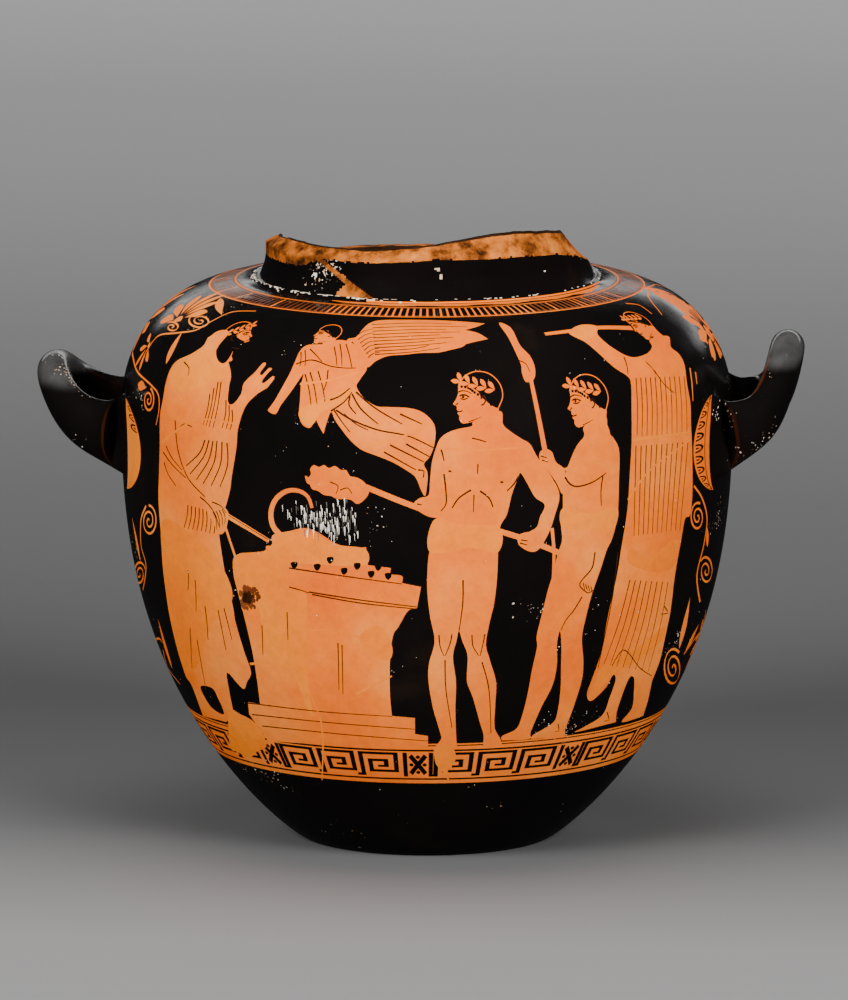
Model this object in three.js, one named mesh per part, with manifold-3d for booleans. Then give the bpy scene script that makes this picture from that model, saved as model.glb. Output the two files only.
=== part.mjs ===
// A red-figure stamnos of fired clay: a wide, high-shouldered pot with two upturned loop handles.
// Its mouth has broken off just above the foot of the neck, and its own foot is gone.
// Millimetres, +Z up. The origin is the middle of the flat underside. The painted front faces -Y,
// and the handles stand out along -X and +X.
import * as THREE from 'three';
import { mergeVertices } from 'three/addons/utils/BufferGeometryUtils.js';
import Module from 'manifold-3d';

// Body, outside
const bodyRadius = 155;
const widestHeight = 221;
const shoulderHeight = 286.9;
const standingRadius = 64;
const standingEdge = 1.5;

// How the outline swells: higher numbers are fuller
const bellyRise = 2.52;
const bellySwell = 1.155;
const shoulderRise = 1.765;
const shoulderSquareness = 6;

// Clay thickness
const wall = 7;
const floorThickness = 10;

// Neck stub and the raised ring around its foot
const neckRadius = 81.5;
const neckWall = 7.4;
const neckFlare = 3.8;
const neckFlareHeight = 13;
const ringRadius = 87.4;
const ringThickness = 3;
const ringToNeck = 0.4;
const throatFillet = 6;

// The broken edge of the neck: going round from the front towards the +X handle, in degrees, how far
// the outer and the inner lip of the break stand above the shoulder
const neckBreak = [
  [0, 19.0, 24.6], [8, 20.2, 26.0], [24, 19.8, 29.6], [42, 19.6, 31.0], [58, 18.2, 29.0],
  [70, 15.8, 27.4], [80, 12.5, 19.5], [90, 8.8, 11.6], [100, 4.2, 5.4], [128, 2.6, 3.4],
  [152, 4.6, 5.8], [180, 2.9, 3.3], [214, 3.7, 4.1], [240, 2.5, 3.5], [256, 4.6, 7.4],
  [266, 14.5, 18.5], [275, 17.4, 22.2], [286, 17.8, 22.6], [304, 17.0, 22.8], [316, 17.0, 22.6],
  [325, 17.8, 22.4], [342, 17.6, 22.5],
];

// Handles. Each starts on the wall as two tall roots and curls out and up into one loop. evenRise is
// the share of its climb that comes evenly; the rest comes late, the later the higher its curl.
const handleGirth = 17;
const rootSpread = 39;
const rootWidth = 15;
const loopFullness = 0.8;
const evenRise = 0.3;
const strandShare = 0.58;
const rootFlare = 4.6;
const leftHandle = { side: -1, rootHeight: 209, rootTall: 38, reach: 189.5, archHeight: 236.5, curl: 3.4 };
const rightHandle = { side: 1, rootHeight: 212, rootTall: 40, reach: 182.8, archHeight: 252.5, curl: 6 };

// Fineness of the solids
const turnSegments = 72;
const outerSteps = 22;
const innerSteps = 16;
const fullTurn = 360;
const clearAbove = 50;
const cutterOverlap = 5;
const cutterPast = 2;
const handleSteps = 24;
const handleSides = 12;

const clay = new THREE.MeshStandardMaterial({ color: 0x16100d, roughness: 0.28, metalness: 0 });

// The body's outline from the foot to the neck. part runs from -1 at the foot through 0 at the
// widest ring to 1 at the axis.
function bodyOutline(part) {
  const turn = Math.abs(part) * Math.PI / 2;
  const across = Math.cos(turn);
  const along = Math.sin(turn);
  if (part < 0) {
    const rise = along ** (2 / bellyRise);
    const swell = (1 - rise ** bellyRise) ** (1 / bellySwell);
    return new THREE.Vector2(standingRadius + (bodyRadius - standingRadius) * swell, widestHeight * (1 - rise));
  }
  const height = widestHeight + (shoulderHeight - widestHeight) * along ** (2 / shoulderRise);
  return new THREE.Vector2(bodyRadius * across ** (2 / shoulderSquareness), height);
}

// Evenly spaced points along the body's outline, from the foot in to the given radius on the
// shoulder, set back square to the surface by depth
function bodyCurve(toRadius, depth, count) {
  const dense = 400;
  const points = [];
  for (let i = 0; i <= dense; i++) {
    const part = -1 + 2 * i / dense;
    const here = bodyOutline(part);
    if (part > 0 && here.x < toRadius) break;
    const before = bodyOutline(Math.max(part - 0.002, -1));
    const after = bodyOutline(Math.min(part + 0.002, 1));
    const along = after.sub(before).normalize();
    points.push(new THREE.Vector2(here.x - along.y * depth, here.y + along.x * depth));
  }
  return new THREE.SplineCurve(points).getSpacedPoints(count);
}

// Height of the outside of the shoulder at a radius
function shoulderHeightAt(radius) {
  const fall = 1 - (radius / bodyRadius) ** shoulderSquareness;
  return widestHeight + (shoulderHeight - widestHeight) * fall ** (1 / shoulderRise);
}

function turned(points) {
  const geometry = new THREE.LatheGeometry(points, turnSegments);
  geometry.rotateX(Math.PI / 2);
  return geometry;
}

// The outside of the pot as one solid block, with the neck standing past any break
function outerBlock(top) {
  const body = bodyCurve(ringRadius + ringThickness / 2, 0, outerSteps);
  body.shift();
  const ringHeight = shoulderHeightAt(ringRadius);
  const ring = [];
  for (let i = 1; i <= 4; i++) {
    const turn = Math.PI * i / 4;
    const out = ringThickness / 2;
    ring.push(new THREE.Vector2(ringRadius + out * Math.cos(turn), ringHeight + out * Math.sin(turn)));
  }
  const neckFoot = new THREE.Vector2(neckRadius + neckFlare, ringHeight + ringToNeck);
  const neckBend = new THREE.Vector2(neckRadius + ringToNeck, neckFoot.y + neckFlareHeight * 0.3);
  const neckRise = new THREE.Vector2(neckRadius, neckFoot.y + neckFlareHeight);
  const neck = new THREE.QuadraticBezierCurve(neckFoot, neckBend, neckRise).getPoints(4);
  return turned([
    new THREE.Vector2(0, 0),
    new THREE.Vector2(standingRadius - standingEdge, 0),
    new THREE.Vector2(standingRadius, standingEdge),
    ...body,
    ...ring,
    ...neck,
    new THREE.Vector2(neckRadius, top),
    new THREE.Vector2(0, top),
  ]);
}

// The hollow inside, open through the neck
function innerBlock(top) {
  const innerNeck = neckRadius - neckWall;
  const body = bodyCurve(innerNeck + throatFillet, wall, innerSteps).filter((p) => p.y > floorThickness + wall / 2);
  const shoulderEnd = body[body.length - 1];
  const throat = [];
  for (let i = 1; i <= 3; i++) {
    const turn = Math.PI / 2 * i / 3;
    const inward = (shoulderEnd.x - innerNeck) * Math.sin(turn);
    throat.push(new THREE.Vector2(shoulderEnd.x - inward, shoulderEnd.y + throatFillet * (1 - Math.cos(turn))));
  }
  return turned([
    new THREE.Vector2(0, floorThickness),
    new THREE.Vector2(body[0].x - wall, floorThickness),
    ...body,
    ...throat,
    new THREE.Vector2(innerNeck, top),
    new THREE.Vector2(0, top),
  ]);
}

// How high the break stands at an angle from the front: a straight run between its named points
function breakAt(degrees) {
  const last = neckBreak.length - 1;
  let i = 0;
  while (i < last && degrees >= neckBreak[i + 1][0]) i++;
  const from = neckBreak[i];
  const to = i < last ? neckBreak[i + 1] : [fullTurn, neckBreak[0][1], neckBreak[0][2]];
  const share = (degrees - from[0]) / (to[0] - from[0]);
  return [1, 2].map((lip) => shoulderHeight + THREE.MathUtils.lerp(from[lip], to[lip], share));
}

// The clay that has broken away: everything above the break, out past the neck
function brokenAway(top) {
  const past = neckFlare + cutterPast;
  return loft([
    turnPoints((degrees) => [neckRadius - neckWall - past, breakAt(degrees)[1]]),
    turnPoints((degrees) => [neckRadius - neckWall, breakAt(degrees)[1]]),
    turnPoints((degrees) => [neckRadius, breakAt(degrees)[0]]),
    turnPoints((degrees) => [neckRadius + past, breakAt(degrees)[0]]),
    turnPoints(() => [neckRadius + past, top]),
  ]);
}

// A ring of points round the axis, from a function that gives radius and height at an angle
function turnPoints(place) {
  const points = [];
  for (let i = 0; i < turnSegments; i++) {
    const degrees = 360 * i / turnSegments;
    const [radius, height] = place(degrees);
    const turn = degrees * Math.PI / 180;
    points.push(new THREE.Vector3(radius * Math.sin(turn), -radius * Math.cos(turn), height));
  }
  return points;
}

// A closed skin through rings of points, with a fan at each end
function loft(rings) {
  const sides = rings[0].length;
  const corners = [];
  const faces = [];
  const endMiddle = (ring) => ring.reduce((sum, p) => sum.add(p), new THREE.Vector3()).divideScalar(sides);
  for (const ring of rings) for (const p of ring) corners.push(p.x, p.y, p.z);
  for (let r = 0; r < rings.length - 1; r++) {
    for (let i = 0; i < sides; i++) {
      const a = r * sides + i;
      const b = r * sides + (i + 1) % sides;
      faces.push(a, b, b + sides, a, b + sides, a + sides);
    }
  }
  const start = endMiddle(rings[0]);
  const end = endMiddle(rings[rings.length - 1]);
  const startIndex = corners.length / 3;
  corners.push(start.x, start.y, start.z, end.x, end.y, end.z);
  const lastRing = (rings.length - 1) * sides;
  for (let i = 0; i < sides; i++) {
    const next = (i + 1) % sides;
    faces.push(startIndex, next, i, startIndex + 1, lastRing + i, lastRing + next);
  }
  const geometry = new THREE.BufferGeometry();
  geometry.setAttribute('position', new THREE.Float32BufferAttribute(corners, 3));
  geometry.setIndex(faces);
  return geometry;
}

// One loop handle, from inside the wall at its front root round to inside the wall at its back root
function handle({ side, rootHeight, rootTall, reach, archHeight, curl }) {
  const wallFace = Math.sqrt(bodyRadius ** 2 - rootSpread ** 2);
  const buried = wallFace - wall * 0.8;
  const dense = [new THREE.Vector3(side * buried, -rootSpread, rootHeight)];
  for (let i = 0; i <= 60; i++) {
    const turn = Math.PI * i / 60;
    const out = Math.sin(turn) ** loopFullness;
    const along = Math.sign(Math.cos(turn)) * Math.abs(Math.cos(turn)) ** loopFullness;
    const x = wallFace + (reach - wallFace) * out;
    const climb = evenRise * out + (1 - evenRise) * out ** curl;
    const z = rootHeight + (archHeight - rootHeight) * climb;
    dense.push(new THREE.Vector3(side * x, -rootSpread * along, z));
  }
  dense.push(new THREE.Vector3(side * buried, rootSpread, rootHeight));
  const centre = new THREE.CatmullRomCurve3(dense, false, 'centripetal');
  const rings = [];
  for (let i = 0; i <= handleSteps; i++) {
    const middle = centre.getPointAt(i / handleSteps);
    const ahead = centre.getTangentAt(i / handleSteps);
    const nearWall = Math.min(1, (reach - Math.abs(middle.x)) / (reach - wallFace));
    const strand = strandShare * (1 - (1 - nearWall) ** 2);
    const flare = (1 - strandShare) * nearWall ** rootFlare;
    const tall = handleGirth + (rootTall - handleGirth) * (strand + flare);
    const wide = handleGirth + (rootWidth - handleGirth) * nearWall ** 4;
    const tallWay = new THREE.Vector3(0, 0, 1).addScaledVector(ahead, -ahead.z).normalize();
    const wideWay = new THREE.Vector3().crossVectors(tallWay, ahead);
    const ring = [];
    for (let k = 0; k < handleSides; k++) {
      const around = 2 * Math.PI * k / handleSides;
      ring.push(middle.clone()
        .addScaledVector(wideWay, wide / 2 * Math.cos(around))
        .addScaledVector(tallWay, tall / 2 * Math.sin(around)));
    }
    rings.push(ring);
  }
  return loft(rings);
}

// Joining and cutting
const wasm = await Module();
wasm.setup();

function solid(geometry) {
  const bare = geometry.clone();
  bare.deleteAttribute('normal');
  bare.deleteAttribute('uv');
  const merged = mergeVertices(bare, 1e-4);
  const mesh = new wasm.Mesh({
    numProp: 3,
    vertProperties: new Float32Array(merged.attributes.position.array),
    triVerts: new Uint32Array(merged.index.array),
  });
  return new wasm.Manifold(mesh);
}

function geometryOf(shape) {
  const mesh = shape.getMesh();
  const geometry = new THREE.BufferGeometry();
  geometry.setAttribute('position', new THREE.Float32BufferAttribute(mesh.vertProperties, 3));
  geometry.setIndex(Array.from(mesh.triVerts));
  geometry.computeVertexNormals();
  return geometry;
}

const pastBreak = shoulderHeight + clearAbove;
const pot = solid(outerBlock(pastBreak))
  .add(solid(handle(leftHandle)))
  .add(solid(handle(rightHandle)))
  .subtract(solid(innerBlock(pastBreak + cutterOverlap)))
  .subtract(solid(brokenAway(pastBreak + cutterOverlap)));

const stamnos = new THREE.Mesh(geometryOf(pot), clay);
stamnos.name = 'stamnos';

const group = new THREE.Group();
group.add(stamnos);

export default group;
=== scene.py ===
import math
import random

import bmesh
import bpy
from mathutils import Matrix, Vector, geometry, noise


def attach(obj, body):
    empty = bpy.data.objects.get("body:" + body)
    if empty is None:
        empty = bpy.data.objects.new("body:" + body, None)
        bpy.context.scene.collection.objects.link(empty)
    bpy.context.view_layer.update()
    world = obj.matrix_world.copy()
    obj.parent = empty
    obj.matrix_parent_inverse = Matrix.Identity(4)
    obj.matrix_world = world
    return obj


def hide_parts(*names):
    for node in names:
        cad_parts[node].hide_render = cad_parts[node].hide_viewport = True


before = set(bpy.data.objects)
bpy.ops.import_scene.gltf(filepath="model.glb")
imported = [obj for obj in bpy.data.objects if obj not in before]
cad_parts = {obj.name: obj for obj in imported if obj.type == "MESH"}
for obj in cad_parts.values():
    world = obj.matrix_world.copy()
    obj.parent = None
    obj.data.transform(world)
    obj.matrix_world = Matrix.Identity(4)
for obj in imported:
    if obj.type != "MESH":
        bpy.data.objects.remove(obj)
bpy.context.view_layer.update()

dice = random.Random(7)
mm = 0.001

# The pot's form, in millimetres, as its solid has it
potForm = {
    "bodyRadius": 155, "widestHeight": 221, "shoulderHeight": 286.9, "standingRadius": 64,
    "standingEdge": 1.5, "bellyRise": 2.52, "bellySwell": 1.155, "shoulderRise": 1.765,
    "shoulderSquareness": 6, "wall": 7, "floorThickness": 10, "neckRadius": 81.5, "neckWall": 7.4,
    "neckFlare": 3.8, "neckFlareHeight": 13, "ringRadius": 87.4, "ringThickness": 3, "throatFillet": 6,
}

# The broken edge of the neck: degrees round from the front, then how far the outer and the inner lip
# stand above the shoulder
neckBreak = [
    (0, 19.0, 24.6), (8, 20.2, 26.0), (24, 19.8, 29.6), (42, 19.6, 31.0), (58, 18.2, 29.0),
    (70, 15.8, 27.4), (80, 12.5, 19.5), (90, 8.8, 11.6), (100, 4.2, 5.4), (128, 2.6, 3.4),
    (152, 4.6, 5.8), (180, 2.9, 3.3), (214, 3.7, 4.1), (240, 2.5, 3.5), (256, 4.6, 7.4),
    (266, 14.5, 18.5), (275, 17.4, 22.2), (286, 17.8, 22.6), (304, 17.0, 22.8), (316, 17.0, 22.6),
    (325, 17.8, 22.4), (342, 17.6, 22.5), (360, 19.0, 24.6),
]
# Where the gloss stops on the neck, below the break, from flaking: degrees and height above the shoulder
flakedGloss = [(262, 6.0), (270, 10.2), (286, 12.0), (304, 11.6), (316, 12.6), (322, 15.5), (327, 19.0)]

# evenRise is the share of a handle's climb that comes evenly; the rest comes late, the later the higher
# its curl
handleForm = {"girth": 17, "rootSpread": 39, "rootWidth": 15, "loopFullness": 0.8, "evenRise": 0.3,
              "strandShare": 0.58, "rootFlare": 4.6, "sides": 40, "steps": 62, "rootFillet": 3.2,
              "settle": 13, "eggs": 11, "eggSpread": 74}
handles = [
    {"side": -1, "rootHeight": 209, "rootTall": 38, "reach": 189.5, "archHeight": 236.5,
     "curl": 3.4, "eggBand": 22.5, "eggDrop": 4},
    {"side": 1, "rootHeight": 212, "rootTall": 40, "reach": 182.8, "archHeight": 252.5,
     "curl": 6, "eggBand": 17.5, "eggDrop": 2},
]

# How the reference view stands to the pot. Pixel places are in its 848 by 1000 frame.
view = {"azimuth": 5.4, "elevation": 9.65, "distance": 6089, "aimHeight": 171.1, "aimSide": -1.47,
        "pixelsPerMm": 1.9708, "middleX": 424, "middleY": 500, "frameHeight": 1000, "sensorWidth": 36}


# The body's outline

# part runs from -1 at the foot through 0 at the widest ring to 1 at the axis
def bodyOutline(part):
    turn = abs(part) * math.pi / 2
    across, along = math.cos(turn), math.sin(turn)
    if part < 0:
        rise = along ** (2 / potForm["bellyRise"])
        swell = max(0, 1 - rise ** potForm["bellyRise"]) ** (1 / potForm["bellySwell"])
        reach = potForm["bodyRadius"] - potForm["standingRadius"]
        return potForm["standingRadius"] + reach * swell, potForm["widestHeight"] * (1 - rise)
    crown = potForm["shoulderHeight"] - potForm["widestHeight"]
    height = potForm["widestHeight"] + crown * along ** (2 / potForm["shoulderRise"])
    return potForm["bodyRadius"] * max(0, across) ** (2 / potForm["shoulderSquareness"]), height


# Distance along the outline from the foot, radius, height, and the outward normal
def tabulate(toRadius, count=1200):
    rows, length, last = [], 0, None
    for i in range(count + 1):
        part = -1 + 2 * i / count
        radius, height = bodyOutline(part)
        if part > 0 and radius < toRadius:
            break
        before, after = bodyOutline(max(part - 0.001, -1)), bodyOutline(min(part + 0.001, 1))
        alongR, alongZ = after[0] - before[0], after[1] - before[1]
        size = math.hypot(alongR, alongZ)
        if last:
            length += math.hypot(radius - last[0], height - last[1])
        last = (radius, height)
        rows.append((length, radius, height, alongZ / size, -alongR / size))
    return rows


outerRows = tabulate(potForm["ringRadius"] + potForm["ringThickness"] / 2)
topV = outerRows[-1][0]
unrollRadius = potForm["bodyRadius"]
halfWay = math.pi * unrollRadius


def between(rows, column, value):
    low, high = 0, len(rows) - 1
    rising = rows[-1][column] > rows[0][column]
    while high - low > 1:
        middle = (low + high) // 2
        if (rows[middle][column] <= value) == rising:
            low = middle
        else:
            high = middle
    a, b = rows[low], rows[high]
    share = (value - a[column]) / ((b[column] - a[column]) or 1)
    share = min(1, max(0, share))
    return [x + (y - x) * share for x, y in zip(a, b)]


def rowAt(v):
    return between(outerRows, 0, v)


def heightToV(height):
    return between(outerRows, 2, height)[0]


shoulderRows = [row for row in outerRows if row[2] > potForm["widestHeight"] + 1]


def shoulderV(radius):
    return between(shoulderRows, 1, radius)[0]


# The point and outward normal of an unrolled place: u round from the front, v up the outline
def onPot(u, v):
    turn = u / unrollRadius
    _, radius, height, outR, outZ = rowAt(v)
    place = Vector((radius * math.sin(turn), -radius * math.cos(turn), height))
    normal = Vector((outR * math.sin(turn), -outR * math.cos(turn), outZ))
    return place, normal


# Unrolled place of a pixel of the reference view, on the near side of the pot
def seenAt(x, y):
    tilt = math.radians(view["elevation"])
    turn, v = 0.0, heightToV(150)
    scale = view["pixelsPerMm"]
    for _ in range(7):
        low, high = 0.0, topV
        for _ in range(16):
            v = (low + high) / 2
            _, radius, height, _, _ = rowAt(v)
            near = radius * math.cos(turn)
            up = height - view["aimHeight"]
            depth = near * math.cos(tilt) + up * math.sin(tilt)
            zoom = scale * view["distance"] / (view["distance"] - depth)
            if view["middleY"] - zoom * (up * math.cos(tilt) - near * math.sin(tilt)) > y:
                low = v
            else:
                high = v
        side = (x - view["middleX"]) / zoom + view["aimSide"]
        turn = math.asin(max(-0.999, min(0.999, side / radius)))
    return (turn + math.radians(view["azimuth"])) * unrollRadius, v


# Drawing on the unrolled body. A shape is a closed outline with a finish; later ones lie on top.

finishes = ["gloss", "clay", "line", "fill", "broken", "wash", "chip", "dust", "inside", "hole"]
shapes = []


def area(points):
    return sum(a[0] * b[1] - b[0] * a[1] for a, b in zip(points, points[1:] + points[:1])) / 2


def lay(finish, points, reach=halfWay - 0.3):
    kept = []
    fine = []
    for a, b in zip(points, points[1:] + points[:1]):
        parts = max(1, math.ceil(math.hypot(b[0] - a[0], b[1] - a[1]) / 4.8))
        fine += [(a[0] + (b[0] - a[0]) * k / parts, a[1] + (b[1] - a[1]) * k / parts) for k in range(parts)]
    for p in [(min(max(q[0], -reach), reach), q[1]) for q in fine]:
        if not kept or math.hypot(p[0] - kept[-1][0], p[1] - kept[-1][1]) > 0.05:
            kept.append((p[0], min(max(p[1], 0.4), topV - 0.4)))
    if len(kept) > 2 and math.hypot(kept[0][0] - kept[-1][0], kept[0][1] - kept[-1][1]) < 0.05:
        kept.pop()
    if len(kept) > 2 and abs(area(kept)) > 0.01:
        shapes.append((finish, kept if area(kept) > 0 else kept[::-1]))


# A Catmull-Rom curve through the points; a point given twice is a corner
def smooth(points, closed=False, step=1.6):
    count = len(points)
    out = []
    last = count if closed else count - 1
    for i in range(last):
        p1, p2 = points[i % count], points[(i + 1) % count]
        p0 = points[(i - 1) % count] if closed or i else p1
        p3 = points[(i + 2) % count] if closed or i + 2 < count else p2
        gap = math.hypot(p2[0] - p1[0], p2[1] - p1[1])
        if gap < 1e-6:
            continue
        steps = max(1, round(gap / step))
        for k in range(steps):
            t = k / steps
            out.append(tuple(
                0.5 * (2 * b + (c - a) * t + (2 * a - 5 * b + 4 * c - d) * t * t
                       + (3 * b - a - 3 * c + d) * t ** 3)
                for a, b, c, d in zip(p0, p1, p2, p3)))
    if not closed:
        out.append(tuple(points[-1]))
    return out


# How much heavier the relief lines are than their given widths
penWeight = 1.6


# A stroke along a path, with its width at each end as a share
def ribbon(finish, path, width, taper=(1, 1)):
    if finish == "line":
        width *= penWeight
    left, right = [], []
    count = len(path)
    if count < 2:
        return
    for i, p in enumerate(path):
        a, b = path[max(i - 1, 0)], path[min(i + 1, count - 1)]
        length = math.hypot(b[0] - a[0], b[1] - a[1]) or 1
        side = (-(b[1] - a[1]) / length, (b[0] - a[0]) / length)
        share = i / (count - 1)
        half = width / 2 * (taper[0] + (taper[1] - taper[0]) * share)
        left.append((p[0] + side[0] * half, p[1] + side[1] * half))
        right.append((p[0] - side[0] * half, p[1] - side[1] * half))
    lay(finish, left + right[::-1])


def disc(finish, middle, wide, tall, sides):
    turns = [2 * math.pi * k / sides for k in range(sides)]
    lay(finish, [(middle[0] + wide * math.cos(turn), middle[1] + tall * math.sin(turn)) for turn in turns])


def box(finish, u0, v0, u1, v1):
    lay(finish, [(u0, v0), (u1, v0), (u1, v1), (u0, v1)])


def ringBand(finish, v0, v1):
    lay(finish, [(-halfWay, v0), (halfWay, v0), (halfWay, v1), (-halfWay, v1)], halfWay)


# A leaf or bud from its base, widest at two thirds of its length
def leaf(finish, base, angle, length, width, curl=0.0):
    left, right = [], []
    for i in range(13):
        t = i / 12
        bend = angle + curl * t
        middle = (base[0] + length * t * math.cos(bend), base[1] + length * t * math.sin(bend))
        half = width / 2 * (math.sin(math.pi * t ** 1.35) ** 0.8 if 0 < t < 1 else 0.02)
        side = (-math.sin(bend), math.cos(bend))
        left.append((middle[0] + side[0] * half, middle[1] + side[1] * half))
        right.append((middle[0] - side[0] * half, middle[1] - side[1] * half))
    lay(finish, left + right[::-1])


# A fan of leaves over a small heart
def palmette(middle, angle, size, leaves=9, spread=2.3):
    for i in range(leaves):
        share = i / (leaves - 1) * 2 - 1
        length = size * (1 - 0.28 * abs(share))
        bearing = angle + share * spread
        base = (middle[0] + size * 0.2 * math.cos(bearing), middle[1] + size * 0.2 * math.sin(bearing))
        leaf("clay", base, bearing, length * 0.78, size * 0.2, curl=0.25 * share)
    heart = [(middle[0] + size * 0.14 * math.cos(a), middle[1] + size * 0.14 * math.sin(a))
             for a in [angle + math.pi * k / 8 - math.pi / 2 for k in range(9)]]
    lay("clay", heart)


print("profile and drawing tools ready")

# Bands of ornament

bandForm = {"clayLow": 45.9, "lineLow": 48.4, "meanderLow": 49.8, "meanderHigh": 63.6, "lineHigh": 64.8,
            "groundLine": 67.6, "clayHigh": 68.7, "thin": 0.7, "thick": 1.15, "periods": 9,
            "saltireShare": 0.19, "saltireAt": -36.8}


def meanderBand():
    at = {name: heightToV(bandForm[name]) for name in
          ("clayLow", "lineLow", "meanderLow", "meanderHigh", "lineHigh", "groundLine", "clayHigh")}
    ringBand("clay", at["clayLow"], at["clayHigh"])
    for name, thick in (("lineLow", "thick"), ("lineHigh", "thick"), ("groundLine", "thin")):
        ringBand("gloss", at[name] - bandForm[thick] / 2, at[name] + bandForm[thick] / 2)
    low, high = at["meanderLow"], at["meanderHigh"]
    tall = high - low
    period = 2 * halfWay / bandForm["periods"]
    stretch = unrollRadius / rowAt((low + high) / 2)[1]
    first = math.radians(bandForm["saltireAt"]) * unrollRadius
    for n in range(bandForm["periods"]):
        middle = first + n * period
        saltire(middle, low, high, period * bandForm["saltireShare"], stretch)
        room = period * (1 - bandForm["saltireShare"])
        for k in range(3):
            start = middle + period * bandForm["saltireShare"] / 2 + room * k / 3
            spiralKey(start, low, room / 3, tall)


def wrapped(u):
    return (u + halfWay) % (2 * halfWay) - halfWay


# A small box that is moved to the near side of the seam behind the pot
def flat(finish, u0, v0, u1, v1):
    shift = wrapped((u0 + u1) / 2) - (u0 + u1) / 2
    if abs(shift + (u0 + u1) / 2) + (u1 - u0) / 2 > halfWay - 0.3:
        return
    box(finish, u0 + shift, v0, u1 + shift, v1)


def saltire(middle, low, high, wide, stretch):
    bar = 2.2 * stretch
    for side in (-1, 1):
        edge = middle + side * (wide / 2 - bar * 0.6)
        flat("gloss", edge - bar / 2, low, edge + bar / 2, high)
    half = wide / 2 - bar * 1.5
    centre = (low + high) / 2
    tall = (high - low) / 2 - 1
    at = wrapped(middle)
    for a, b in ((-1, 1), (1, 1)):
        across, up = half * 0.86, a * b * tall * 0.86
        ends = [(at - across, centre - up), (at + across, centre + up)]
        ribbon("gloss", ends, 3.1)
    for du, dv in ((0, 0.72), (0, -0.72), (0.74, 0), (-0.74, 0)):
        disc("gloss", (at + du * half, centre + dv * tall), 1.15 * stretch, 1.15, 8)


# One square of running meander: an upright that turns in on itself
def spiralKey(start, low, wide, tall):
    t = tall / 11
    w = wide / 10.6
    bars = [
        (0, 0, 1.15, 11), (1.15, 9.85, 9.6, 11), (8.45, 1.9, 9.6, 9.85), (2.2, 1.9, 8.45, 3.05),
        (2.2, 3.05, 3.35, 7.9), (3.35, 6.75, 7.2, 7.9), (6.05, 4.2, 7.2, 6.75), (4.5, 4.2, 6.05, 5.2),
    ]
    for x0, y0, x1, y1 in bars:
        flat("gloss", start + x0 * w, low + y0 * t, start + x1 * w, low + y1 * t)
    flat("gloss", start - 1.0 * w, low, start + 0.1 * w, low + 1.15 * t)


# Radii of the tongue band in millimetres, and where round the front the clay shows bright, in degrees
tongueForm = {"outerRadius": 110.4, "innerRadius": 98.2, "clayLine": (97.2, 96.4), "lineRadius": 95.6,
              "count": 196, "edge": 0.9, "bright": (-23, 34), "brightElsewhere": 0.12,
              "wornFrom": -26, "wornTo": 78, "wornOuter": 91.2, "wornInner": 90.2}


def tongueBand():
    outer, inner = shoulderV(tongueForm["outerRadius"]), shoulderV(tongueForm["innerRadius"])
    edge = tongueForm["edge"]
    # The band's brown ground, painted shade round the sides where no clay gap covers it
    ringBand("wash", outer, inner)
    ringBand("clay", outer, outer + edge)
    ringBand("wash", inner, shoulderV(tongueForm["lineRadius"]))
    ringBand("clay", *(shoulderV(radius) for radius in tongueForm["clayLine"]))
    pitch = 2 * halfWay / tongueForm["count"]
    for n in range(tongueForm["count"]):
        middle = -halfWay + (n + 0.5) * pitch
        bearing = math.degrees(middle / unrollRadius)
        half = pitch * (0.3 + 0.06 * dice.random())
        foot = outer + edge * (1.9 + 0.4 * dice.random())
        lay("gloss", [(middle + half * share, y) for share, y in (
            (-1, inner), (-0.95, foot + 1.6), (-0.5, foot + 0.3), (0, foot), (0.5, foot + 0.3),
            (0.95, foot + 1.6), (1, inner))])
        # The clay shows bright only in front; elsewhere the brown ground stays in the gaps as painted shade
        # on the band's sides
        bright = tongueForm["bright"][0] < bearing < tongueForm["bright"][1]
        if bright or dice.random() < tongueForm["brightElsewhere"]:
            gap = middle + pitch / 2
            ribbon("clay", [(gap, outer + edge * 1.1), (gap, inner)], pitch * 0.3)
    # On the front right the gloss has worn off the edge beside the ring, down to the clay
    worn, steps = [], 120
    span = tongueForm["wornTo"] - tongueForm["wornFrom"]
    for n in range(steps + 1):
        u = math.radians(tongueForm["wornFrom"] + span * n / steps) * unrollRadius
        fade = min(1, n / 14, (steps - n) / 14)
        ragged = (2.4 + 0.8 * math.sin(n * 0.31) + 0.5 * dice.random()) * fade
        worn.append((u, shoulderV(tongueForm["wornOuter"] + ragged)))
    lay("clay", worn + [(p[0], shoulderV(tongueForm["wornInner"])) for p in worn[::-1]])


# Unrolled place of a point of the wall beside a handle, from its distance along Y and its height
def rootPlace(form, y, z):
    radius = rowAt(heightToV(z))[1]
    x = math.sqrt(radius ** 2 - y ** 2)
    return math.atan2(form["side"] * x, -y) * unrollRadius, heightToV(z)


# A point round a handle's root on the wall, end -1 in front and 1 behind
def rootPoint(form, end, turn):
    fillet = handleForm["rootFillet"] * 0.6
    wide = handleForm["rootWidth"] / 2 + fillet
    tall = form["rootTall"] / 2 + fillet
    return rootPlace(form, end * handleForm["rootSpread"] + wide * math.cos(turn),
                     form["rootHeight"] + tall * math.sin(turn))


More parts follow.
